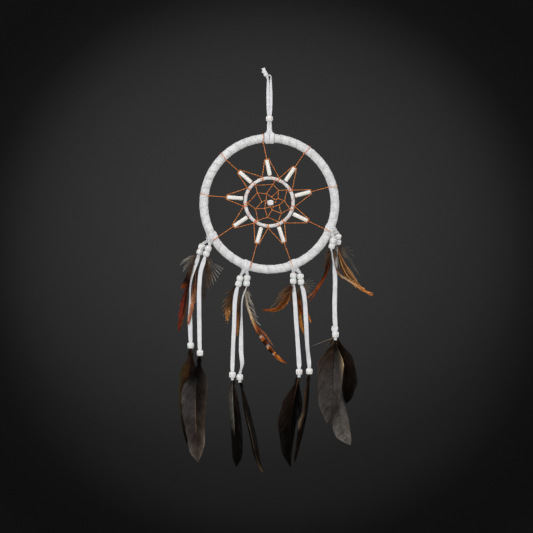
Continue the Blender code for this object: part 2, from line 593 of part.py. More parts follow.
def main():
    for old in list(bpy.data.objects):
        bpy.data.objects.remove(old)
    collection = bpy.data.collections.new("dream_catcher")
    cutters = bpy.data.collections.new("cutters")
    bpy.context.scene.collection.children.link(collection)
    bpy.context.scene.collection.children.link(cutters)
    finishes = {
        "suede": material("white_suede", (0.84, 0.84, 0.83), 0.9),
        "wood": material("ring_wood", (0.55, 0.40, 0.24), 0.7),
        "steel": material("ring_wire", (0.45, 0.45, 0.46), 0.35, 1.0),
        "thread": material("waxed_thread", (0.55, 0.20, 0.06), 0.5),
        "bone": material("bone", (0.80, 0.76, 0.66), 0.4),
        "bead": material("white_bead", (0.86, 0.86, 0.85), 0.25),
        "dark_feather": material("dark_feather", (0.03, 0.022, 0.017), 0.6),
        "grey_feather": material("grey_feather", (0.10, 0.095, 0.09), 0.7),
        "hackle": material("hackle_feather", (0.35, 0.15, 0.05), 0.6),
    }
    hitch = pivot_empty("hitch_twist", Vector((0, 0, LOOP_FOOT_Z)), collection)
    hoop = pivot_empty("hoop_tilt", on_circle(HOOP_CENTRE, HOOP_R, 0), collection)
    lace, knot = make_hanging_loop(finishes, collection)
    join_knot(lace, knot, collection)
    bead = pivot_empty("loop_bead_slide", Vector((0, 0, LOOP_BEAD_Z)), collection)
    turned("loop_bead", bead_profile(), 12, Vector((0, 0, LOOP_BEAD_Z)), Vector((0, 0, 1)),
           finishes["bead"], collection, bead)
    bent_tube("hoop_hitch", HOOP_CENTRE, HOOP_R, HITCH_BORE_R, HITCH_OUTER_R, -HITCH_HALF_ANGLE,
              HITCH_HALF_ANGLE, 2, 10, finishes["suede"], collection, hitch)
    make_hoop(finishes, collection, hoop)
    make_star(finishes, collection, hoop)
    make_net(finishes, collection, hoop)
    make_net_bead(finishes, collection, cutters)
    make_tube_beads(finishes, collection)
    for name in STRANDS:
        make_strand(name, finishes, collection)


main()
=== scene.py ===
"""Dream catcher: the visual model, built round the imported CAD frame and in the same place.

The frame is in metres, +Z up and -Y to the front, with the origin where the loop rests on its hook.
Shapes are written in millimetres and scaled by MM as their meshes are made.
"""

import json
import math

import bmesh
import bpy
import numpy as np
from mathutils import Matrix, Vector

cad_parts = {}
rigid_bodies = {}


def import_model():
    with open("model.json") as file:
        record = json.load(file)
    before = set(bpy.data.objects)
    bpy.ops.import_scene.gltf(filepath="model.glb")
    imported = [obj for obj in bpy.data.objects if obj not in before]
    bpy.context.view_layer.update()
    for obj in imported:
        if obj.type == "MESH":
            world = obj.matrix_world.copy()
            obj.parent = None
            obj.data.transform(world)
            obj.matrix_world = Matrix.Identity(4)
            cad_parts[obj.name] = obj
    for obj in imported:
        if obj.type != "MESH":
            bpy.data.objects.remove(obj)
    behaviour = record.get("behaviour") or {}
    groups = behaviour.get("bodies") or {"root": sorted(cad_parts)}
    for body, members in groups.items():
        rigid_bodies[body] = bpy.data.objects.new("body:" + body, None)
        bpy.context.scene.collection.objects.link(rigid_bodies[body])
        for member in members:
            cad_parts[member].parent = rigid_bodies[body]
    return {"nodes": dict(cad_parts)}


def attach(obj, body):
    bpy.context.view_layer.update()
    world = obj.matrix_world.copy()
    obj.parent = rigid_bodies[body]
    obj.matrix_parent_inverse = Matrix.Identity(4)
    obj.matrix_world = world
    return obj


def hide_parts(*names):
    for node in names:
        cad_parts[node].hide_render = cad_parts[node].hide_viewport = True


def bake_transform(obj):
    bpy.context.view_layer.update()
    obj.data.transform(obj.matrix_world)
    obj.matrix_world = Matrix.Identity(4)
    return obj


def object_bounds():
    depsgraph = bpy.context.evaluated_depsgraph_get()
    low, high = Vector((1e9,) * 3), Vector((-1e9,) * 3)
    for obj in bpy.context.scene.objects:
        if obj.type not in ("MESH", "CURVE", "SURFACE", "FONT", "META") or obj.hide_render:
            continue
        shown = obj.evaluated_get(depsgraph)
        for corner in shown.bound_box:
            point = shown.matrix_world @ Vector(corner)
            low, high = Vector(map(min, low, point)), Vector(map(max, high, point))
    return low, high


for old in list(bpy.data.objects):
    bpy.data.objects.remove(old)
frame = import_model()
CAD_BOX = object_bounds()

MM = 0.001
RNG = np.random.default_rng(11)
FRONT = np.array((0.0, -1.0, 0.0))

# Places that part.py uses too, in millimetres and in degrees clockwise from the top
HOOP_CENTRE = np.array((0.0, 0.0, -146.5))
HOOP_R = 75.0
RING_CENTRE = np.array((-0.2, 0.0, -144.6))
RING_R = 27.4
SPOKE_ON_HOOP = (-6.0, 34.6, 74.4, 114.6, 159.8, 196.7, 237.1, 277.3, 315.1)
SPOKE_ON_RING = (2.9, 38.2, 76.4, 116.3, 158.8, 197.5, 235.7, 278.2, 318.1)
STAR_ON_RING = (22.8, 62.7, 100.0, 143.9, 182.4, 216.0, 260.8, 302.8, 344.4)
SPOKES = len(SPOKE_ON_HOOP)
UNDER_A_TIE = (3, 4, 5, 6)
TUBE_START, TUBE_LENGTH, TUBE_R = 3.8, 17.4, 2.3
LOOP_BEAD_Z = -49.3
NET_ON_RING = {"A1": 15.4, "A2": 55.7, "A3": 108.0, "A4": 155.4, "A5": 212.0, "A6": 266.6, "A7": 320.7}
NET_KNOTS = {
    "N1": (4.4, 20.4), "P1": (-13.6, 10.6), "P2": (-3.2, 9.7), "P3": (10.8, 13.5), "P4": (17.5, 1.4),
    "P5": (13.9, -13.1), "P6": (-1.7, -17.6), "P7": (-15.7, -7.9), "Q1": (-8.6, 0.4), "Q2": (2.8, 5.7),
    "Q3": (10.1, 4.2), "Q4": (11.3, -3.3), "Q5": (3.2, -9.0), "Q6": (-5.3, -7.4), "L1": (-3.6, 2.1),
    "L2": (-4.3, -1.2), "L3": (1.3, -5.5), "L4": (4.9, -5.2), "L5": (7.5, -0.2), "L6": (7.9, 2.8),
    "L7": (5.6, 3.6),
}
NET_THREADS = (
    "A1-N1 N1-A7 N1-P2 N1-P3 A2-P3 A2-P4 A3-P4 A3-P5 A4-P5 A4-P6 A5-P6 A5-P7 A6-P7 A6-P1 A7-P1 "
    "P1-P2 P1-Q1 P2-Q2 P2-L1 P3-Q2 P3-Q3 P4-Q3 P4-Q4 P5-Q4 P5-Q5 P6-Q5 P6-Q6 P7-Q6 P7-Q1 Q1-L1 "
    "Q2-L7 Q3-L6 L6-L7 L6-L5 Q4-L4 Q5-L3 Q5-L4 Q6-L2 Q6-L3 L1-L2 L3-L4 L2-L5"
)
TIES = {"left": 240.0, "lower_left": 200.5, "lower_right": 158.5, "right": 112.5}
# Each lace: depth y, pivot at its tie, top beads, route, low bead and the cut end below it, as (x, z).
# wide and turn are the lace's width and twist at points down its route, from 0 at the top to 1.
STRANDS = {
    "left_a": dict(
        y=3.2, pivot=(-70.1, -188.8), top=((-77.3, -195.5), (-79.6, -201.6)), low=(-90.0, -308.6), tail=None,
        route=((-82.6, -211.5), (-88.3, -228.2), (-90.4, -242.5), (-90.8, -273.1), (-90.4, -298.0)),
        turn=((0, 10), (0.15, 35), (0.3, 66), (0.42, 78), (0.58, 78), (0.7, 12), (1, 0))),
    "left_b": dict(
        y=-3.2, pivot=(-68.0, -192.4), top=((-69.7, -197.7), (-72.2, -203.9)), low=(-79.3, -317.0), tail=None,
        route=((-75.4, -213.5), (-78.6, -225.0), (-80.1, -242.5), (-80.3, -262.9), (-79.8, -306.0)),
        turn=((0, 0), (0.5, 8), (1, -5))),
    "lower_left_a": dict(
        y=0.0, pivot=(-30.2, -224.4), top=((-33.6, -232.1), (-35.2, -237.9)), low=(-42.3, -342.1),
        tail=(-42.3, -348.2),
        route=((-37.9, -247.5), (-39.6, -260.5), (-40.4, -286.7), (-41.3, -304.2), (-42.2, -331.0)),
        turn=((0, 0), (0.4, -8), (0.8, 10), (1, 15))),
    "lower_left_b": dict(
        y=0.0, pivot=(-26.0, -224.8), top=((-25.6, -231.5), (-26.2, -237.5)), low=(-33.9, -344.9),
        tail=(-33.7, -350.8),
        route=((-28.4, -247.0), (-31.2, -258.7), (-31.7, -278.0), (-32.4, -313.0), (-31.3, -329.5)),
        turn=((0, 60), (0.08, 78), (0.42, 78), (0.53, 20), (0.62, 5), (0.8, -8), (0.9, -30), (0.96, -72),
              (1, -72))),
    "lower_right_a": dict(
        y=0.0, pivot=(27.2, -223.6), top=((27.4, -229.0), (27.3, -234.9)), low=(34.0, -338.8),
        tail=(33.7, -345.0),
        route=((28.1, -245.0), (29.4, -260.5), (30.7, -282.4), (32.0, -299.9), (33.9, -327.5)),
        turn=((0, 40), (0.12, 20), (0.3, -5), (1, 8))),
    "lower_right_b": dict(
        y=0.0, pivot=(33.5, -223.6), top=((35.4, -229.9), (36.1, -235.9)), low=(45.6, -338.1), tail=None,
        route=((38.6, -245.5), (40.6, -258.0), (41.8, -278.0), (43.4, -308.6), (45.3, -327.0)),
        turn=((0, 0), (0.5, 12), (0.8, 35), (1, 20))),
    "right_a": dict(
        y=-4.2, pivot=(71.9, -183.4), top=((72.6, -188.6), (71.3, -195.0)), low=(75.5, -296.1),
        tail=(75.2, -302.4),
        route=((71.9, -205.0), (73.8, -218.5), (75.1, -235.3), (74.3, -260.4), (75.3, -285.0)),
        turn=((0, 82), (0.2, 80), (0.27, 30), (0.33, 5), (0.6, -8), (1, 10))),
    "right_b": dict(
        y=3.8, pivot=(77.6, -179.6), top=((78.5, -184.1), (78.3, -190.4)), low=(74.9, -289.8), tail=None,
        route=((77.2, -200.5), (76.2, -218.0), (75.4, -235.3), (74.9, -260.4), (74.9, -279.0)),
        turn=((0, 70), (0.25, 60), (0.4, 10), (1, 0))),
}
PAIR_SPACING = 6.3
BEAD_HALF = 3.4
LACE_BACK = -0.95
QUILL_BACK = 0.35

# ---------------------------------------------------------------- camera, light and surroundings

CAMERA_AWAY = 3.0
VIEW_WIDTH = 0.6096
SENSOR = 36.0
cam_data = bpy.data.cameras.new("camera")
cam_data.sensor_width = SENSOR
cam_data.lens = SENSOR * CAMERA_AWAY / VIEW_WIDTH
camera = bpy.data.objects.new("camera", cam_data)
camera.location = (-0.0033, -CAMERA_AWAY, -0.2183)
camera.rotation_euler = (math.radians(90), 0, 0)
bpy.context.scene.collection.objects.link(camera)
bpy.context.scene.camera = camera
bpy.context.scene.view_settings.view_transform = "Standard"


def area_light(name, place, target, size, power, colour=(1, 1, 1)):
    data = bpy.data.lights.new(name, "AREA")
    data.size = size
    data.energy = power
    data.color = colour
    lamp = bpy.data.objects.new(name, data)
    lamp.location = place
    lamp.rotation_euler = (Vector(target) - Vector(place)).to_track_quat("-Z", "Y").to_euler()
    bpy.context.scene.collection.objects.link(lamp)


MIDDLE = (0, 0, -0.2)
area_light("key", (-1.0, -1.9, 0.55), MIDDLE, 1.1, 29)
area_light("fill", (1.5, -1.7, 0.1), MIDDLE, 1.3, 17)
area_light("top", (0.1, -0.3, 1.5), MIDDLE, 1.0, 11)
area_light("left_edge", (-1.7, 1.2, 0.2), MIDDLE, 1.0, 16)
area_light("right_edge", (1.7, 1.3, 0.2), MIDDLE, 1.0, 16)


def math_node(tree, operation, a, b=None):
    node = tree.nodes.new("ShaderNodeMath")
    node.operation = operation
    for socket, value in zip(node.inputs, (a, b)):
        if isinstance(value, (int, float)):
            socket.default_value = value
        elif value is not None:
            tree.links.new(value, socket)
    return node.outputs[0]


def make_world():
    """Charcoal, with a soft pool of light behind the hoop and darker corners."""
    world = bpy.data.worlds.new("charcoal")
    world.use_nodes = True
    bpy.context.scene.world = world
    tree = world.node_tree
    place = tree.nodes.new("ShaderNodeTexCoord").outputs["Generated"]
    split = tree.nodes.new("ShaderNodeSeparateXYZ")
    tree.links.new(place, split.inputs[0])
    x, y, z = split.outputs
    across = math_node(tree, "DIVIDE", x, y)
    up = math_node(tree, "DIVIDE", z, y)
    # directions away from the backdrop count as far off, so they take the ramps' last greys
    behind = math_node(tree, "MULTIPLY", math_node(tree, "LESS_THAN", y, 0.0), 9.0)

    def shade(left, rise, squash, stops):
        a = math_node(tree, "ADD", across, left)
        b = math_node(tree, "MULTIPLY", math_node(tree, "SUBTRACT", up, rise), squash)
        away = math_node(tree, "SQRT", math_node(tree, "ADD", math_node(tree, "MULTIPLY", a, a),
                                                 math_node(tree, "MULTIPLY", b, b)))
        away = math_node(tree, "ADD", away, behind)
        ramp = tree.nodes.new("ShaderNodeValToRGB")
        while len(ramp.color_ramp.elements) < len(stops):
            ramp.color_ramp.elements.new(0.5)
        for element, (at, grey) in zip(ramp.color_ramp.elements, stops):
            element.position = at * 2.5
            element.color = (grey, grey, grey, 1)
        tree.links.new(math_node(tree, "MULTIPLY", away, 2.5), ramp.inputs[0])
        return ramp.outputs[0]

    pool = shade(0.004, 0.0194, 1.15, (
        (0.0, 0.0345), (0.044, 0.0325), (0.061, 0.0285), (0.0762, 0.0245), (0.0915, 0.0200), (0.11, 0.0140),
        (0.145, 0.0115), (0.2, 0.0115), (0.36, 0.05)))
    corners = shade(0.0, 0.0, 1.0, (
        (0.0, 1.0), (0.08, 1.0), (0.0915, 0.9), (0.1105, 0.46), (0.13, 0.4), (0.17, 0.6), (0.25, 1.0)))
    tree.links.new(math_node(tree, "MULTIPLY", pool, corners), tree.nodes["Background"].inputs[0])


make_world()

# ---------------------------------------------------------------- materials


def srgb(*rgb):
    """Linear colour from 0 to 255 display values."""
    return tuple(((c / 255 + 0.055) / 1.055) ** 2.4 if c > 10 else c / 255 / 12.92 for c in rgb)


class Finish:
    """A Principled material that is built up from nodes."""

    def __init__(self, name, roughness, **sockets):
        self.material = bpy.data.materials.new(name)
        self.material.use_nodes = True
        self.tree = self.material.node_tree
        self.shader = self.tree.nodes["Principled BSDF"]
        self.shader.inputs["Roughness"].default_value = roughness
        for socket, value in sockets.items():
            self.shader.inputs[socket.replace("_", " ")].default_value = value
        self.height = None

    def node(self, kind, **inputs):
        made = self.tree.nodes.new("ShaderNode" + kind)
        for name, value in inputs.items():
            socket = made.inputs[name.replace("_", " ")]
            if isinstance(value, bpy.types.NodeSocket):
                self.tree.links.new(value, socket)
            else:
                socket.default_value = value
        return made

    def noise(self, scale, detail=4.0, stretch=None, rough=0.55):
        place = self.node("TexCoord").outputs["Object"]
        if stretch:
            place = self.node("Mapping", Vector=place, Scale=stretch).outputs[0]
        return self.node("TexNoise", Vector=place, Scale=scale, Detail=detail, Roughness=rough).outputs[0]

    def ramp(self, value, *stops):
        made = self.node("ValToRGB", Fac=value)
        elements = made.color_ramp.elements
        while len(elements) < len(stops):
            elements.new(0.5)
        for element, (at, colour) in zip(elements, stops):
            element.position = at
            element.color = (*colour, 1)
        return made.outputs[0]

    def greys(self, value, *stops):
        return self.ramp(value, *((at, (grey,) * 3) for at, grey in stops))

    def mix(self, a, b, factor, how="MIX"):
        made = self.tree.nodes.new("ShaderNodeMix")
        made.data_type = "RGBA"
        made.blend_type = how
        for socket, value in ((made.inputs[0], factor), (made.inputs[6], a), (made.inputs[7], b)):
            if isinstance(value, bpy.types.NodeSocket):
                self.tree.links.new(value, socket)
            else:
                socket.default_value = (*value, 1) if isinstance(value, tuple) else value
        return made.outputs[2]

    def colour(self, value):
        self.tree.links.new(value, self.shader.inputs["Base Color"])

    def rough(self, value):
        self.tree.links.new(value, self.shader.inputs["Roughness"])

    def bump(self, height, strength, distance_mm):
        made = self.node("Bump", Strength=strength, Distance=distance_mm * MM, Height=height)
        if self.height:
            self.tree.links.new(self.height, made.inputs["Normal"])
        self.height = made.outputs[0]
        self.tree.links.new(self.height, self.shader.inputs["Normal"])


def suede_finish(name, light, dark, use_painted_shade):
    """Brushed suede: a fine nap, cloudy brushing marks, and painted shade, a grey where a turn tucks under
    the next, along edges and in folds.
    """
    f = Finish(name, 0.93, Sheen_Weight=0.25, Sheen_Roughness=0.45)
    nap = f.noise(1900, 3)
    clouds = f.noise(170, 4)
    colour = f.ramp(clouds, (0.32, dark), (0.62, light))
    colour = f.mix(colour, f.greys(nap, (0.3, 0.82), (0.7, 1)), 0.5, "MULTIPLY")
    if use_painted_shade:
        # painted shade: a per-point value mixes in a grey at tucked seams, lace edges and folds, and on the
        # laces a little random tone too
        shade = f.tree.nodes.new("ShaderNodeAttribute")
        shade.attribute_name = "painted_shade_and_tone"
        colour = f.mix(colour, srgb(128, 124, 121), shade.outputs["Fac"])
    f.colour(colour)
    f.bump(nap, 0.35, 0.12)
    f.bump(f.noise(420, 4), 0.3, 0.15)
    return f.material


def thread_finish():
    """Waxed two-ply thread."""
    f = Finish("waxed_thread_finish", 0.5, Specular_IOR_Level=0.3)
    twist = f.noise(900, 2)
    f.colour(f.ramp(twist, (0.3, srgb(178, 84, 20)), (0.5, srgb(238, 132, 44)), (0.72, srgb(255, 190, 108))))
    f.bump(twist, 0.5, 0.1)
    return f.material


def bone_finish():
    """Polished bone, with faint streaks along each tube."""
    f = Finish("bone_finish", 0.36, Subsurface_Weight=0.08, Subsurface_Scale=0.001)
    streaks = f.noise(700, 4, (1, 1, 0.07))
    spots = f.noise(160, 2)
    colour = f.ramp(streaks, (0.3, srgb(236, 231, 221)), (0.5, srgb(250, 248, 242)),
                    (0.75, srgb(254, 253, 250)))
    f.colour(f.mix(colour, f.ramp(spots, (0.4, (0.96, 0.94, 0.9)), (0.6, (1, 1, 1))), 0.7, "MULTIPLY"))
    f.rough(f.greys(streaks, (0.2, 0.5), (0.8, 0.28)))
    f.bump(streaks, 0.25, 0.06)
    return f.material


def bead_finish():
    """White glazed bead, a little uneven."""
    f = Finish("white_bead_finish", 0.2, Coat_Weight=0.4, Subsurface_Weight=0.1, Subsurface_Scale=0.001)
    f.colour(f.ramp(f.noise(260, 3), (0.3, srgb(226, 225, 222)), (0.7, srgb(243, 243, 241))))
    f.rough(f.greys(f.noise(700, 3), (0.3, 0.16), (0.7, 0.34)))
    f.bump(f.noise(350, 3), 0.15, 0.12)
    return f.material


def stone_finish():
    """Tumbled white stone with thin grey veins."""
    f = Finish("white_stone_finish", 0.3, Coat_Weight=0.2)
    veins = f.noise(420, 6, None, 0.7)
    f.colour(f.ramp(veins, (0.40, srgb(236, 235, 231)), (0.47, srgb(238, 237, 233)),
                    (0.495, srgb(176, 173, 168)), (0.52, srgb(240, 239, 236))))
    f.bump(f.noise(600, 4), 0.2, 0.15)
    return f.material


def feather_finish():
    """Barbs take their colour from how they are painted; a fine grain stands for the barbules."""
    f = Finish("feather_finish", 0.55, Specular_IOR_Level=0.008)
    paint = f.tree.nodes.new("ShaderNodeAttribute")
    paint.attribute_name = "tint"
    grain = f.noise(2600, 3)
    # a low mottle, partly the barbs' own tone and partly painted highlight patches
    mottle_and_highlight = f.greys(f.noise(110, 3), (0.3, 0.6), (0.7, 1.45))
    barbules = f.greys(grain, (0.3, 0.7), (0.7, 1.2))
    colour = f.mix(paint.outputs["Color"], barbules, 0.8, "MULTIPLY")
    f.colour(f.mix(colour, mottle_and_highlight, 0.8, "MULTIPLY"))
    f.rough(f.greys(f.noise(500, 2), (0.3, 0.42), (0.7, 0.62)))
    f.bump(grain, 0.4, 0.05)
    return f.material


def wood_finish():
    f = Finish("ring_wood_finish", 0.7)
    grain = f.noise(90, 6, (1, 1, 8))
    f.colour(f.ramp(grain, (0.3, srgb(140, 102, 66)), (0.7, srgb(190, 150, 105))))
    f.bump(grain, 0.3, 0.2)
    return f.material


def wire_finish():
    f = Finish("ring_wire_finish", 0.35, Metallic=1.0)
    marks = f.noise(500, 4)
    f.colour(f.ramp(marks, (0.3, (0.36, 0.36, 0.37)), (0.7, (0.52, 0.52, 0.53))))
    f.rough(f.greys(marks, (0.3, 0.3), (0.7, 0.48)))
    return f.material


def floor_finish():
    f = Finish("floor_finish", 0.85)
    f.colour(f.ramp(f.noise(6, 3), (0.3, (0.52, 0.52, 0.51)), (0.7, (0.57, 0.57, 0.56))))
    return f.material


WRAP = suede_finish("white_suede_wrap_finish", srgb(242, 242, 242), srgb(216, 215, 215), True)
SUEDE = suede_finish("white_suede_finish", srgb(241, 241, 243), srgb(226, 226, 229), True)
THREAD = thread_finish()
BONE = bone_finish()
BEAD = bead_finish()
STONE = stone_finish()
FEATHER = feather_finish()

# ---------------------------------------------------------------- mesh helpers


class Shape:
    """Closed shells gathered into one mesh, with a value or a colour at each point."""

    def __init__(self):
        self.points, self.faces, self.values, self.count = [], [], [], 0

    def loft(self, rings, values=None, closed=False):
        """A shell through rings of points, shape (rows, corners, 3), closed on itself or capped."""
        rings = np.asarray(rings, float)
        rows, corners = rings.shape[:2]
        base = self.count
        last = rows if closed else rows - 1
        a = (np.arange(last)[:, None] * corners + np.arange(corners)[None, :])
        b = (np.arange(last)[:, None] * corners + (np.arange(corners)[None, :] + 1) % corners)
        quads = np.stack([a, b, (b + corners) % (rows * corners), (a + corners) % (rows * corners)], -1)
        self.faces += (quads.reshape(-1, 4) + base).tolist()
        if not closed:
            self.faces.append([base + i for i in reversed(range(corners))])
            self.faces.append([base + (rows - 1) * corners + i for i in range(corners)])
        self.points.append(rings.reshape(-1, 3))
        if values is None:
            values = np.zeros((rows, corners))
        self.values.append(np.asarray(values, float).reshape(rows * corners, -1))
        self.count += rows * corners

    def build(self, name, finish, body, sharp=False, local=None):
        mesh = bpy.data.meshes.new(name)
        points = np.concatenate(self.points) * MM
        mesh.from_pydata(points.tolist(), [], self.faces)
        values = np.concatenate(self.values)
        if values.shape[1] == 3:
            layer = mesh.color_attributes.new("tint", "FLOAT_COLOR", "POINT")
            opaque = np.hstack([values, np.ones((len(values), 1))])
            layer.data.foreach_set("color", opaque.astype(np.float32).ravel())
        else:
            # the per-point value is painted shade for the suede, with a little random tone on the laces
            layer = mesh.attributes.new("painted_shade_and_tone", "FLOAT", "POINT")
            layer.data.foreach_set("value", values[:, 0].astype(np.float32))
        shape = bmesh.new()
        shape.from_mesh(mesh)
        bmesh.ops.recalc_face_normals(shape, faces=shape.faces)
        shape.to_mesh(mesh)
        shape.free()
        mesh.polygons.foreach_set("use_smooth", [not sharp] * len(mesh.polygons))
        mesh.materials.append(finish)
        made = bpy.data.objects.new(name, mesh)
        bpy.context.scene.collection.objects.link(made)
        if local is not None:
            made.matrix_world = local
        if body:
            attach(made, body)
        return made


def unit(v):
    return v / np.maximum(np.linalg.norm(v, axis=-1, keepdims=True), 1e-9)


def on_circle(centre, radius, degrees):
    a = math.radians(degrees)
    return centre + np.array((math.sin(a), 0, math.cos(a))) * radius


def smooth(rows, per_span):
    """Rows of numbers read from a Catmull-Rom curve through the given rows."""
    rows = np.asarray(rows, float)
    ends = np.vstack([2 * rows[0] - rows[1], rows, 2 * rows[-1] - rows[-2]])
    out = []
    for a, b, c, d in zip(ends, ends[1:], ends[2:], ends[3:]):
        for t in np.arange(per_span) / per_span:
            out.append(0.5 * (2 * b + (c - a) * t + (2 * a - 5 * b + 4 * c - d) * t**2
                              + (3 * b - a - 3 * c + d) * t**3))
    return np.array(out + [rows[-1]])


def wobble(count, wave, size):
    """Smooth random values along a line."""
    knots = RNG.normal(0, size, max(3, int(count / wave) + 3))
    return np.interp(np.linspace(0, len(knots) - 1, count), np.arange(len(knots)), knots)


def frames(path):
    """Two directions square to a path and to each other, at each of its points."""
    along = unit(np.gradient(path, axis=0))
    up = np.where(np.abs(along @ FRONT)[:, None] > 0.9, np.array((1.0, 0, 0)), FRONT)
    side = unit(np.cross(along, up))
    return side, np.cross(side, along)


def tube(shape, path, radius, corners=8, values=None):
    """A round closed tube along a path; radius is one number or one for each point."""
    path = np.asarray(path, float)
    side, up = frames(path)
    a = np.linspace(0, 2 * math.pi, corners, endpoint=False)
    r = np.broadcast_to(np.asarray(radius, float), (len(path),))[:, None, None]
    c, s = np.cos(a)[None, :, None], np.sin(a)[None, :, None]
    rings = path[:, None] + r * (side[:, None] * c + up[:, None] * s)
    if values is not None:
        values = np.repeat(np.asarray(values, float)[:, None], corners, axis=1)
    shape.loft(rings, values)


def flat_section(corners=14, power=3.2):
    """A rounded rectangle as (across, through), each from -1 to 1."""
    a = np.linspace(0, 2 * math.pi, corners, endpoint=False) + math.pi / corners
    c, s = np.cos(a), np.sin(a)
    return np.stack([np.sign(c) * np.abs(c) ** (2 / power), np.sign(s) * np.abs(s) ** (2 / power)], 1)


def ribbon(shape, path, width, thick, turn, shade=None, cup=0.0):
    """A flat lace along a path. turn 0 faces the front, shade adds painted shade and tone along its length,
    cup bows it.
    """
    path = np.asarray(path, float)
    along = unit(np.gradient(path, axis=0))
    side = unit(np.cross(along, np.array((0.0, 1.0, 0.0))))
    through = np.cross(along, side)
    t = np.radians(turn)[:, None]
    across = side * np.cos(t) + through * np.sin(t)
    through = unit(np.cross(along, across))
    section = flat_section()
    w, h = (np.asarray(width) / 2)[:, None, None], (np.asarray(thick) / 2)[:, None, None]
    u, v = section[:, 0][None, :, None], section[:, 1][None, :, None]
    rings = path[:, None] + across[:, None] * (w * u) + through[:, None] * (h * v + cup * w * 0.2 * u * u)
    shade = np.zeros(len(path)) if shade is None else np.asarray(shade)
    # painted shade along both edges of the lace
    edge_painted_shade = 0.16 * (np.abs(section[:, 0]) > 0.92)
    values = np.repeat(shade[:, None], len(section), 1) + edge_painted_shade[None, :]
    shape.loft(rings, np.clip(values, 0, 1))


def turned(name, profile, middle, axis, finish, body, steps=32, dent=0.03):
    """A turned bead: profile of (radius, height) down its outside and up its bore, slightly uneven."""
    profile = np.asarray(profile, float)
    a = np.linspace(0, 2 * math.pi, steps, endpoint=False)
    wave = 1 + dent * (0.5 * np.cos(2 * a + RNG.uniform(0, 6)) + 0.3 * np.cos(3 * a + RNG.uniform(0, 6)))
    rings = np.zeros((len(profile), steps, 3))
    outside = (profile[:, 0] > profile[:, 0].min() + 0.2)[:, None]
    r = profile[:, :1] * np.where(outside, wave[None, :], 1)
    rings[:, :, 0], rings[:, :, 1], rings[:, :, 2] = r * np.cos(a), r * np.sin(a), profile[:, 1:]
    shape = Shape()
    shape.loft(rings, closed=True)
    turn = Vector(axis).to_track_quat("Z", "Y").to_matrix().to_4x4()
    return shape.build(name, finish, body, local=Matrix.Translation(Vector(middle) * MM) @ turn)


# ---------------------------------------------------------------- the hoop and the small ring


def wound_wrap(name, centre, ring_r, tube_r, turns, step, painted_seam_shade, replaced):
    """A lace wound round a ring: each turn's edge lies on the turn before it."""
    rounds = 22
    # rows across one turn of the lace: where each lies, how far it stands up, and how much painted shade its
    # seam gets where it tucks under the next
    across = np.array((0.0, 0.025, 0.06, 0.14, 0.4, 0.7, 0.9, 0.975))
    lift = np.array((0.0, 0.75, 1.0, 0.92, 0.62, 0.34, 0.12, 0.0)) * step
    dark = np.array((1.0, 0.35, 0.0, 0.0, 0.0, 0.0, 0.15, 0.8)) * painted_seam_shade
    k = np.arange(turns)[:, None, None]
    phi = np.linspace(0, 2 * math.pi, rounds, endpoint=False)[None, None, :]
    theta = (k + across[None, :, None] + phi / (2 * math.pi)) * 2 * math.pi / turns
    theta = (theta + 0.10 * np.sin(5 * theta + 1) * math.pi / turns
             + 0.12 * np.sin(9 * theta) * math.pi / turns)
    r = tube_r + lift[None, :, None] + 0.16 * step * np.sin(7 * theta + 2 * phi)
    theta, r = theta.reshape(-1, rounds), r.reshape(-1, rounds)
    phi = np.broadcast_to(phi[0], theta.shape)
    out = ring_r + r * np.cos(phi)
    rings = centre + np.stack([np.sin(theta) * out, -r * np.sin(phi), np.cos(theta) * out], -1)
    shape = Shape()
    rows = len(rings)
    shape.points.append(rings.reshape(-1, 3))
    shape.values.append(np.broadcast_to(np.tile(dark, turns)[:, None], theta.shape).reshape(-1, 1))
    # once round the tube, the lace has moved on by one turn, so the faces that close it join to that turn
    row, col = np.meshgrid(np.arange(rows), np.arange(rounds), indexing="ij")
    ahead = np.where(col + 1 < rounds, row, row + len(across))

    def corner(i, j):
        return (i % rows) * rounds + j % rounds

    quads = [corner(row, col), corner(ahead, col + 1), corner(ahead + 1, col + 1), corner(row + 1, col)]
    shape.faces = np.stack(quads, -1).reshape(-1, 4).tolist()
    piece = shape.build(name, WRAP, "hoop")
    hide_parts(replaced)


wound_wrap("hoop_wrap_turns", HOOP_CENTRE, HOOP_R, 4.72, 46, 0.24, 0.3, "hoop_wrap")
wound_wrap("small_ring_turns", RING_CENTRE, RING_R, 1.8, 27, 0.15, 0.2, "small_ring_wrap")
for core, finish in (("hoop_ring", wood_finish()), ("small_ring", wire_finish())):
    frame["nodes"][core].data.materials.clear()
    frame["nodes"][core].data.materials.append(finish)


def band(shape, centre, ring_r, middle, tube_r, width, thick, tilt=0.0, bow=0.0):
    """One turn of flat lace round a ring at an angle; tilt slants it, bow pushes its outer side along."""
    steps = 30
    section = flat_section(12)
    a = np.linspace(0, 2 * math.pi, steps, endpoint=False)
    rings = []
    for angle in a:
        drift = tilt * math.cos(angle) + bow * math.sin(angle)
        at = math.radians(middle) + (section[:, 0] * width / 2 + drift) / ring_r
        r = tube_r + section[:, 1] * thick / 2 - 0.12 * section[:, 0] ** 2
        out = ring_r + r * math.cos(angle)
        rings.append(centre + np.stack([np.sin(at) * out, -r * math.sin(angle), np.cos(at) * out], -1))
    # painted shade along both edges of the turn, where it meets the wrap
    dark = np.repeat((0.45 * (np.abs(section[:, 0]) > 0.9))[None, :], steps, 0)
    shape.loft(np.array(rings), dark, closed=True)


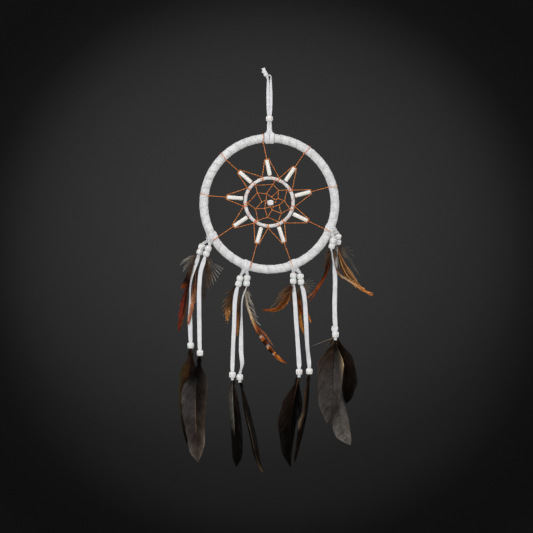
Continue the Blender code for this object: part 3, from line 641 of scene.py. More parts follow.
def neck(shape, start, end, start_size, end_size, folds):
    """Gathered lace that narrows from the hoop to where it hangs: a loft with pleats down it."""
    start, end = np.array(start, float), np.array(end, float)
    rows, corners = 12, 40
    a = np.linspace(0, 2 * math.pi, corners, endpoint=False)
    axis = unit(end - start)
    side = unit(np.cross(axis, np.array((0.0, 1.0, 0.0))))
    through = np.cross(side, axis)
    rings, dark = [], []
    for t in np.linspace(0, 1, rows):
        ease = t * t * (3 - 2 * t)
        w = start_size[0] + (end_size[0] - start_size[0]) * (1 - (1 - t) ** 2.2)
        h = start_size[1] + (end_size[1] - start_size[1]) * ease
        pleat = 1 + 0.09 * np.cos(folds * a + 0.8 * t) * min(1, 4 * t) + 0.04 * np.cos(5 * a + 2)
        c = np.sign(np.cos(a)) * np.abs(np.cos(a)) ** 0.75
        out = side * (c * w / 2 * pleat)[:, None] + through * (np.sin(a) * h / 2 * pleat)[:, None]
        rings.append(start + (end - start) * t + out)
        # painted shade in the folds between the pleats
        dark.append(np.clip(0.5 - 6 * (pleat - 0.93), 0, 0.6))
    shape.loft(np.array(rings), np.array(dark))


def make_ties():
    for name, middle in TIES.items():
        shape = Shape()
        s_a, s_b = STRANDS[name + "_a"], STRANDS[name + "_b"]
        lean = -1 if middle > 180 else 1
        band(shape, HOOP_CENTRE, HOOP_R, middle - 1.7, 5.3, 4.6, 0.8, 0.5 * lean, 0.3)
        band(shape, HOOP_CENTRE, HOOP_R, middle + 1.8, 5.25, 4.4, 0.8, -0.6 * lean, -0.4)
        band(shape, HOOP_CENTRE, HOOP_R, middle + 0.3, 5.7, 4.2, 0.7, 1.5 * lean, 0.9)
        edge = on_circle(HOOP_CENTRE, HOOP_R + 3.4, middle)
        pivots = [np.array((s["pivot"][0], s["y"] * 0.5, s["pivot"][1])) for s in (s_a, s_b)]
        fork = sum(pivots) / 2 + np.array((0, 0, 0.2))
        fork_width = 4.6 + 0.35 * np.linalg.norm(pivots[0] - pivots[1])
        neck(shape, edge, fork, (9.6, 8.2), (fork_width, 3.4), 7)
        for pivot, s in zip(pivots, (s_a, s_b)):
            x, z = s["top"][0]
            top = np.array((x, s["y"], z))
            stop = top + unit(pivot - top) * (BEAD_HALF + 0.5)
            neck(shape, edge * 0.35 + pivot * 0.65, pivot * 0.72 + stop * 0.28, (5.2, 3.4), (3.7, 1.7), 7)
        piece = shape.build(name + "_tie_lace", SUEDE, "hoop")
        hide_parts(name + "_tie")


def make_hitch():
    shape = Shape()
    for middle in (2.05, -2.05):
        band(shape, HOOP_CENTRE, HOOP_R, middle, 5.95, 5.35, 0.9)
    neck(shape, (0, 0, -68.2), (0, 0, -62.1), (14.0, 10.4), (5.9, 3.0), 6)
    piece = shape.build("hoop_hitch_lace", SUEDE, "hoop_hitch")
    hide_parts("hoop_hitch")


make_ties()
make_hitch()

# ---------------------------------------------------------------- thread


def plied(shape, path, radius=0.36):
    """Two-ply thread: a tube whose section is pinched into two strands that turn as it runs."""
    path = np.asarray(path, float)
    length = np.concatenate([[0], np.cumsum(np.linalg.norm(np.diff(path, axis=0), axis=1))])
    count = max(3, int(length[-1] / 0.42))
    at = np.linspace(0, length[-1], count)
    path = np.stack([np.interp(at, length, path[:, i]) for i in range(3)], 1)
    side, up = frames(path)
    a = np.linspace(0, 2 * math.pi, 8, endpoint=False)[None, :]
    twist = (at * 2 * math.pi / 3.4)[:, None]
    r = radius * (0.86 + 0.24 * np.cos(2 * (a - twist / 2)))
    across, out = (r * np.cos(a))[..., None], (r * np.sin(a))[..., None]
    shape.loft(path[:, None] + across * side[:, None] + out * up[:, None])


def knot(shape, middle, size=0.72):
    """A small pulled knot."""
    rows, corners = 6, 8
    a = np.linspace(0, 2 * math.pi, corners, endpoint=False)
    rings = []
    for lat in np.linspace(-1.35, 1.35, rows):
        r = size * math.cos(lat) * (1 + 0.12 * np.cos(2 * a + lat * 3))
        depth = np.full(corners, 0.9 * size * math.sin(lat))
        rings.append(np.stack([r * np.cos(a), depth, r * np.sin(a)], 1))
    shape.loft(np.array(rings) + np.asarray(middle))


def thread_loop(shape, centre, ring_r, degrees, turn_r, slant=0.0):
    """One turn of thread round a ring; slant shifts its front along the ring."""
    path = []
    for a in np.linspace(0, 2 * math.pi, 33):
        at = degrees + math.degrees(slant * math.sin(a + 0.6) / ring_r)
        middle = on_circle(centre, ring_r, at)
        path.append(middle + unit(middle - centre) * math.cos(a) * turn_r + FRONT * math.sin(a) * turn_r)
    plied(shape, path, 0.34)


def spoke_line(i):
    start = on_circle(RING_CENTRE, RING_R, SPOKE_ON_RING[i])
    end = on_circle(HOOP_CENTRE, HOOP_R, SPOKE_ON_HOOP[i])
    return start, unit(end - start), float(np.linalg.norm(end - start))


def make_star():
    shape = Shape()
    tube_end = TUBE_START + TUBE_LENGTH
    points = [on_circle(RING_CENTRE, RING_R + 2.3, a) for a in STAR_ON_RING]
    for i in range(SPOKES):
        start, out, length = spoke_line(i)
        side = np.array((out[2], 0, -out[0]))
        top = start + out * (tube_end + 0.8)
        reach = length - (6.7 if i in UNDER_A_TIE else 5.6)
        plied(shape, [start + out * 2.2, top, start + out * reach])
        knot(shape, top, 0.85)
        for sign, point in ((1, points[i]), (-1, points[i - 1])):
            shoulder = start + out * (tube_end + 0.42) + side * sign * (TUBE_R + 0.15)
            plied(shape, smooth([top, shoulder * 0.6 + top * 0.4 + out * 0.15, shoulder,
                                 shoulder * 0.55 + point * 0.45, point], 5))
        if i in UNDER_A_TIE:
            plied(shape, smooth([start + out * reach, start + out * (length - 3.2) + FRONT * 5.6,
                                 start + out * (length + 2.0) + FRONT * 6.3], 5))
        else:
            thread_loop(shape, HOOP_CENTRE, HOOP_R, SPOKE_ON_HOOP[i], 5.45, 1.3)
            knot(shape, start + out * (reach - 0.3), 0.75)
    for a in STAR_ON_RING:
        for shift in (-0.35, 0.35):
            thread_loop(shape, RING_CENTRE, RING_R, a + math.degrees(shift / RING_R), 2.25, 0.5 * shift)
    turns = 14
    path = []
    for s in np.linspace(0, 1, turns * 16 + 1)[:-1]:
        theta, phi = 2 * math.pi * s, 2 * math.pi * turns * s
        middle = RING_CENTRE + np.array((math.sin(theta), 0, math.cos(theta))) * RING_R
        path.append(middle + unit(middle - RING_CENTRE) * math.cos(phi) * 2.15 + FRONT * math.sin(phi) * 2.15)
    plied(shape, path, 0.22)
    piece = shape.build("star_thread_plied", THREAD, "hoop")
    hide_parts("star_thread")


def make_net():
    shape = Shape()
    place = {name: RING_CENTRE + np.array((x, 0, z)) for name, (x, z) in NET_KNOTS.items()}
    for name, angle in NET_ON_RING.items():
        place[name] = on_circle(RING_CENTRE, RING_R - 2.5, angle)
        thread_loop(shape, RING_CENTRE, RING_R, angle, 2.25, 0.3)
    for pair in NET_THREADS.split():
        a, b = (place[n] for n in pair.split("-"))
        sag = unit(RING_CENTRE - (a + b) / 2) * 0.25
        plied(shape, smooth([a, (a + b) / 2 + sag * (0 if pair == "L2-L5" else 1) + FRONT * 0.1, b], 4), 0.32)
    for name, middle in place.items():
        knot(shape, middle, 0.62)
    piece = shape.build("net_thread_plied", THREAD, "hoop")
    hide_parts("net_thread")


make_star()
make_net()

# ---------------------------------------------------------------- beads


def mirrored(half):
    """A turned outline from its upper half, from the top to near the middle."""
    return half + [(r, -h) for r, h in reversed(half)]


BARREL = mirrored([(2.4, 3.36), (2.6, 3.4), (2.85, 3.3), (3.15, 3.02), (3.42, 2.55), (3.62, 1.9),
                   (3.73, 1.15), (3.77, 0.4)]) + [(2.3, -3.1), (2.3, 3.1)]
TOP_BEAD_SQUASH = 0.92


def make_beads():
    for name, s in STRANDS.items():
        first, second = (np.array((x, s["y"], z)) for x, z in s["top"])
        down = unit(second - first)
        middle = (first + second) / 2
        pieces = []
        for part, sign in (("upper", -1), ("middle", 1)):
            lean = down + np.array((RNG.normal(0, 0.04), RNG.normal(0, 0.04), 0))
            at = middle + down * sign * PAIR_SPACING / 2
            pieces.append(turned(f"{name}_{part}_bead", [(r, h * TOP_BEAD_SQUASH) for r, h in BARREL], at,
                                 -lean, BEAD, name + "_strand"))
        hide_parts(name + "_top_beads")
        x, z = s["low"]
        low = turned(name + "_end_bead", BARREL, (x, s["y"], z), (RNG.normal(0, 0.03), 0, 1), BEAD,
                     name + "_feather")
        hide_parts(name + "_low_bead")
        s["beads"] = pieces
        s["low_piece"] = low
    bead = turned("loop_barrel_bead", BARREL, (0, 0, LOOP_BEAD_Z), (0, 0, 1), BEAD, "loop_bead")
    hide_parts("loop_bead")
    half = TUBE_LENGTH / 2 + 0.4
    end = [(0.95, half - 0.5), (1.1, half), (TUBE_R - 0.55, half + 0.02), (TUBE_R - 0.15, half - 0.2),
           (TUBE_R, half - 0.7), (TUBE_R * 0.985, half * 0.4)]
    for i in range(SPOKES):
        start, out, _ = spoke_line(i)
        middle = start + out * (TUBE_START + TUBE_LENGTH / 2 - 0.4)
        node = f"tube_bead_{i + 1}"
        tube_bead = turned(f"bone_tube_{i + 1}", mirrored(end), middle, out, BONE, node, dent=0.05)
        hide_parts(node)


def make_net_bead():
    """A tumbled block: rings lofted into a rounded box, a little lumpy, with a drilled bore."""
    a, b = (RING_CENTRE + np.array((NET_KNOTS[n][0], 0, NET_KNOTS[n][1])) for n in ("L2", "L5"))
    middle, along = a + (b - a) * 0.475, unit(b - a)
    rounds, rows = 40, 22
    half_length, half_width, corner_power, bore_r, drilled = 3.5, 3.2, 3.4, 0.8, 0.34
    angle = np.linspace(0, 2 * math.pi, rounds, endpoint=False)
    rings = []
    for t in np.linspace(-1, 1, rows):
        x = half_length * math.sin(t * math.pi / 2)
        rounded = max(0.0, 1 - abs(x / half_length) ** corner_power) ** (1 / corner_power)
        shrink = rounded if abs(t) < 1 else drilled
        c, s = np.cos(angle), np.sin(angle)
        r = half_width * max(shrink, drilled) / (np.abs(c) ** 4 + np.abs(s) ** 4) ** 0.25
        r = r * (1 + 0.02 * np.cos(3 * angle + 2 * t) + 0.015 * np.cos(5 * angle - 3 * t))
        rings.append(np.stack([np.full(rounds, x), r * c, r * s], 1))
    bore = [np.stack([np.full(rounds, x), bore_r * np.cos(angle), bore_r * np.sin(angle)], 1)
            for x in (3.3, -3.3)]
    shape = Shape()
    shape.loft(np.array(rings + bore), closed=True)
    turn = Vector(along).to_track_quat("X", "Z").to_matrix().to_4x4()
    place = Matrix.Translation(Vector(middle) * MM) @ turn
    piece = shape.build("net_stone", STONE, "net_bead", local=place)
    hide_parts("net_bead")


make_beads()
make_net_bead()

# ---------------------------------------------------------------- laces


def make_loop():
    """The lace over the hook, its two legs side by side below, and the knot at its top left."""
    # rows are x, y, z, width, thickness and turn; the left leg is the right one turned half round
    right = [(1.4, 0, -64.2, 2.8, 1.1, 0), (1.35, 0, -57.0, 2.7, 1.1, 0), (1.15, 0, -51.5, 2.2, 1.2, 0),
             (1.15, 0, -47.0, 2.2, 1.2, 0), (1.4, 0, -42.5, 2.9, 1.0, 0), (1.7, 0, -33.0, 3.3, 1.0, 0),
             (1.75, 0, -22.0, 3.3, 1.0, 5), (1.6, 0, -12.0, 3.0, 1.0, 12), (1.6, 0, -6.0, 2.8, 1.0, 35),
             (1.8, 0, -2.6, 2.8, 1.0, 70)]
    top = [(1.6, 0, -0.6, 3.0, 1.0, 90), (0, 0, 0.65, 3.0, 1.0, 90), (-1.6, 0, -0.6, 3.0, 1.0, 90)]
    left = [(-x, -y, z, w, t, 180 - turn if turn else 180) for x, y, z, w, t, turn in reversed(right)]
    rows = smooth(right + top + left, 6)
    shape = Shape()
    count = len(rows)
    ribbon(shape, rows[:, :3], rows[:, 3] * (1 + wobble(count, 8, 0.03)), rows[:, 4], rows[:, 5])
    loop = shape.build("hanging_loop_lace", SUEDE, "hanging_loop")
    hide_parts("hanging_loop")
    tie = Shape()
    middle = np.array((-4.1, 0.0, 1.1))
    for tilt, r, w in ((0.5, 1.75, 2.2), (-0.7, 1.95, 2.0), (1.5, 1.6, 2.0)):
        a = np.linspace(0, 2 * math.pi, 25)
        u = np.array((math.cos(tilt), 0, math.sin(tilt)))
        v = np.array((-math.sin(tilt) * 0.3, 1.0, math.cos(tilt) * 0.3))
        path = middle + r * (np.cos(a)[:, None] * u + np.sin(a)[:, None] * unit(v))
        tube(tie, path[:-1], w / 2 * (1 + 0.12 * np.cos(3 * a[:-1])), 10)
    for points, wide in (
            (((-2.9, 0, 0.6), (-4.6, -0.8, 3.4), (-6.2, -1.1, 6.0), (-7.0, -1.2, 8.5)), 4.0),
            (((-2.9, 0.4, 0.6), (-5.0, 0.9, 2.6), (-6.6, 1.3, 4.2), (-8.0, 1.5, 5.3)), 3.2),
            (((-1.9, 0.2, -3.8), (-2.8, 0.2, -1.6), (-3.8, 0, 0.6), (-4.2, 0, 2.0)), 2.4)):
        path = smooth(points, 5)
        n = len(path)
        ribbon(tie, path, np.full(n, wide) * (1 + wobble(n, 4, 0.05)), np.full(n, 1.0), np.linspace(30, 0, n))
    tie.build("hanging_loop_knot", SUEDE, "hanging_loop")


def make_lace(name):
    """One suede lace from its tie, through its two top beads, to its low bead."""
    s = STRANDS[name]
    y = s["y"]
    first, second = (np.array(p) for p in s["top"])
    down = unit(second - first)
    middle = (first + second) / 2
    reach = PAIR_SPACING / 2 + BEAD_HALF
    rows = [(s["pivot"][0], y, s["pivot"][1], 3.3)]
    for distance in (-reach, 0, reach):
        x, z = middle + down * distance
        rows.append((x, y, z, 3.3))
    rows += [(x, y, z, 4.9) for x, z in s["route"]]
    x, z = s["low"]
    rows.append((x, y + LACE_BACK, z + BEAD_HALF + 0.2, 3.6))
    rows.append((x, y + LACE_BACK, z - (1.0 if s["tail"] is None else BEAD_HALF), 3.2))
    if s["tail"]:
        rows.append((s["tail"][0], y + LACE_BACK, s["tail"][1], 3.4))
    rows = smooth(rows, 8)
    z_top, z_low = s["route"][0][1] + 6, s["low"][1] + BEAD_HALF + 1
    free = np.clip((z_top - rows[:, 2]) / (z_top - z_low), 0, 1)
    at, angle = zip(*s["turn"])
    turn = np.interp(free, at, angle)
    inside = (rows[:, 2] > z_top) | (rows[:, 2] < z_low)
    turn = np.where(inside, 0, turn)
    turn = np.convolve(np.pad(turn, 3, mode="edge"), np.ones(7) / 7, "valid")
    count = len(rows)
    width = rows[:, 3] * (1 + wobble(count, 6, 0.035))
    thick = np.where(inside, 0.9, 1.05)
    # painted shade on the stretch through the tie and the top beads, and a little random tone all along
    shade = np.where(free <= 0, 0.18, 0) + 0.05 * np.abs(wobble(count, 5, 1.0))
    shape = Shape()
    ribbon(shape, rows[:, :3], width, thick, turn, shade, cup=0.35)
    lace = shape.build(name + "_suede_lace", SUEDE, None)
    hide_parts(name + "_lace")
    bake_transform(lace)


make_loop()
for strand in STRANDS:
    make_lace(strand)

# ---------------------------------------------------------------- feathers

SIDES = (-1, 1)
VANE_SAMPLES = 120
HACKLE_SAMPLES = 90


def full_row(row):
    """A paint row is t, then one colour, or one for each side, or left edge, left inner, right inner and
    right edge colours. This makes it the last kind."""
    t, *colours = row
    return (t, *[colour for colour in colours for _ in range(4 // len(colours))])


def painted(paint, t, g, side, rim):
    """The colour at t down the feather and g out from the quill; a high rim keeps the edge colour narrow."""
    at = [row[0] for row in paint]
    left_edge, left_in, right_in, right_edge = (
        np.stack([np.interp(t, at, [srgb(*row[k])[c] for row in paint]) for c in range(3)], -1)
        for k in (1, 2, 3, 4))
    inner, edge = (left_in, left_edge) if side < 0 else (right_in, right_edge)
    g = g[..., None]
    return inner + (edge - inner) * g**rim


def barbs(shape, quill, left, right, paint, count, reach=0.13, hold=0.62, stray=0.0, camber=1.0, splits=14,
          uneven=0.03, vary=0.2, taper=0.6, rim=1.9):
    """Two rows of barbs from a quill to the vane's edges. quill, left and right are matching rows of points.

    reach is how far each barb sweeps towards the tip, hold its width against its spacing, stray how far
    loose ends wander, splits how many gaps open along each edge, uneven how much the barbs' lengths differ,
    vary how much their tones do, taper how much they narrow, and rim how late the edge's colour sets in."""
    # where the first barb leaves the quill, then in millimetres: a barb's widest half, how far its edges
    # stand off its middle, half its thickness, and the vane's width at which camber counts in full
    depart, widest, lift, half_thick, camber_width = 0.03, 0.9, 0.07, 0.07, 12
    paint = [full_row(row) for row in paint]
    grid = np.linspace(0, 1, len(quill))

    def read(rows, t):
        return np.stack([np.interp(t, grid, rows[:, i]) for i in range(3)], -1)

    stations = 7
    u = np.linspace(0, 1, stations)[None, :]
    for side, edge in zip(SIDES, (left, right)):
        t0 = depart + (1 - depart) * (np.arange(count) + 0.5) / count
        t1 = t0 + reach * np.sqrt(np.clip(1 - t0, 0, 1)) + RNG.normal(0, 0.25 / count, count)
        if splits:
            cuts = np.sort(RNG.choice(np.arange(3, int(count * 0.72)), splits, replace=False))
            for a, b in zip(np.concatenate([[0], cuts[:-1]]), cuts):
                t1[a:b] += (t1[a:b].mean() - t1[a:b]) * RNG.uniform(0.04, 0.22)
        t1 = np.clip(t1, None, 1.0)
        t = t0[:, None] + (t1 - t0)[:, None] * u**1.35
        g = (u**0.85) * (1 - np.abs(RNG.normal(0, uneven, count)))[:, None]
        q, e = read(quill, t), read(edge, t)
        p = q + (e - q) * g[..., None]
        width = np.linalg.norm(e - q, axis=-1)
        p[..., 1] += camber * (g * width / camber_width) ** 2
        if stray:
            push = RNG.normal(0, stray, (count, 1, 3)) * np.array((1.0, 0.7, 0.8))
            sway = RNG.normal(0, stray * 0.3, (count, 1, 3))
            p += push * (u**2)[..., None] + sway * np.sin(u * math.pi)[..., None]
        gap = np.gradient(p, axis=0)
        along = unit(np.gradient(p, axis=1))
        normal = unit(np.cross(along, gap))
        normal = np.where((normal[..., 1] > 0)[..., None], -normal, normal)
        across = unit(np.cross(normal, along))
        spacing = np.abs((gap * across).sum(-1))
        half = np.clip(hold * spacing, 0.05, widest) * (1 - taper * u**4)
        half = np.minimum(half, np.maximum(0.05, hold * np.median(spacing) * 2.2))
        flip = np.sign((gap * across).sum(-1))[..., None]
        wing = across * half[..., None] * flip
        raise_ = normal * lift
        thick = normal * half_thick * (1 - 0.5 * u)[..., None]
        rings = np.stack([p - wing - raise_, p + thick, p + wing + raise_, p - thick], 2)
        colour = painted(paint, t, g, side, rim)
        streak = RNG.normal(0, vary, count) + wobble(count, 4.0, 0.8 * vary)
        colour = colour * np.exp(streak[:, None, None] + RNG.normal(0, 0.1, (count, stations, 1)))
        for k in range(count):
            shape.loft(rings[k], np.repeat(colour[k][:, None], 4, 1))


def shaft(shape, quill, colours, thick, tip, forward):
    """The quill itself, painted along its length."""
    t = np.linspace(0, 1, len(quill))
    at = [row[0] for row in colours]
    colour = np.stack([np.interp(t, at, [srgb(*row[1])[c] for row in colours]) for c in range(3)], -1)
    path = quill + FRONT * forward
    tube(shape, path, thick + (tip - thick) * t**0.7, 7, colour)


def hairs(shape, y, root, targets, count, colours, spread, thick, bow, root_spread=0.8):
    """Down: fine curved filaments from a root towards targets, each a tapered thread, at depths from y."""
    root = np.array(root, float) + (0, y, 0)
    targets = np.array(targets, float) + (0, y, 0)
    for _ in range(count):
        w = RNG.dirichlet(np.ones(len(targets)) * 0.7)
        end = w @ targets + RNG.normal(0, spread, 3) * np.array((1, 0.6, 1))
        begin = root + RNG.normal(0, root_spread, 3) * np.array((1, 0.5, 1.3))
        end = begin + (end - begin) * RNG.uniform(0.55, 1.05)
        swerve = RNG.normal(0, bow * 0.5, 3) * np.array((1, 0.6, 1))
        middle = (begin + end) / 2 + swerve + np.array((0, 0, 0.12)) * np.linalg.norm(end - begin)
        path = smooth([begin, middle, end], 4)
        u = np.linspace(0, 1, len(path))
        a, b = (np.array(srgb(*c)) for c in colours[RNG.integers(len(colours))])
        colour = a + (b - a) * u[:, None] ** 1.3
        tube(shape, path, thick * (1 - 0.75 * u), 4, colour)


def spikes(shape, y, root, tips, colours, thick, droop, root_spread=0.5):
    """Single stiff barbs that stand clear of the down, dark at the root and pale at the tip."""
    root = np.array(root, float) + (0, y, 0)
    a, b = (np.array(srgb(*c)) for c in colours)
    for x, z in tips:
        begin = root + RNG.normal(0, root_spread, 3)
        end = np.array((x, root[1] + RNG.normal(0, 0.5), z))
        middle = (begin + end) / 2 + np.array((0, 0, droop * RNG.uniform(0.6, 1.2)))
        path = smooth([begin, middle, end], 6)
        u = np.linspace(0, 1, len(path))
        tube(shape, path, thick * (1 - 0.7 * u**2), 4, a + (b - a) * u[:, None] ** 2.4)


def big_feather(name, strand, rows, tip, y, bow, paint, quill, count, slot="dark_feather", replaced=None,
                **how):
    """A feather under a strand's low bead from rows of (z, left edge, quill, right edge)."""
    x, z = STRANDS[strand]["low"]
    base = [(z - BEAD_HALF + 0.4, x - 1.3, x, x + 1.3)]
    table = smooth(base + list(rows) + [(tip[1], tip[0] - 0.3, tip[0], tip[0] + 0.3)], 16)
    run = np.concatenate([[0], np.cumsum(np.hypot(np.diff(table[:, 0]), np.diff(table[:, 2])))])
    even = np.linspace(0, run[-1], VANE_SAMPLES)
    zz, left, mid, right = (np.interp(even, run, table[:, i]) for i in range(4))
    t = np.linspace(0, 1, VANE_SAMPLES)
    yy = y + bow[0] * np.sin(math.pi * t) + bow[1] * t**2
    line = np.stack([mid, yy, zz], 1)
    left = np.stack([np.minimum(left, mid - 0.2), yy, zz], 1)
    right = np.stack([np.maximum(right, mid + 0.2), yy, zz], 1)
    shape = Shape()
    barbs(shape, line, left, right, paint, count, hold=0.78, taper=0.3, **how)
    stem = np.vstack([[(x, y + QUILL_BACK, z + 2.0)], line])
    shaft(shape, stem, quill, 0.55, 0.12, 0.12)
    tube(shape, smooth([stem[1] + (0, 0, 0.5), line[3], line[8]], 4), np.linspace(0.95, 0.6, 9), 8,
         np.tile(srgb(*quill[0][1]), (9, 1)))
    shades = full_row(paint[0])[1:]
    hairs(shape, 0, line[1], [left[13], left[9], line[13], right[9], right[13]], 90,
          [(tuple(0.7 * c for c in shade), shade) for shade in shades], 0.35, 0.2, 0.5, 0.35)
    piece = shape.build(name, FEATHER, strand + "_feather", True)
    if replaced:
        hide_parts(replaced)


BLACK = (9, 7, 6)
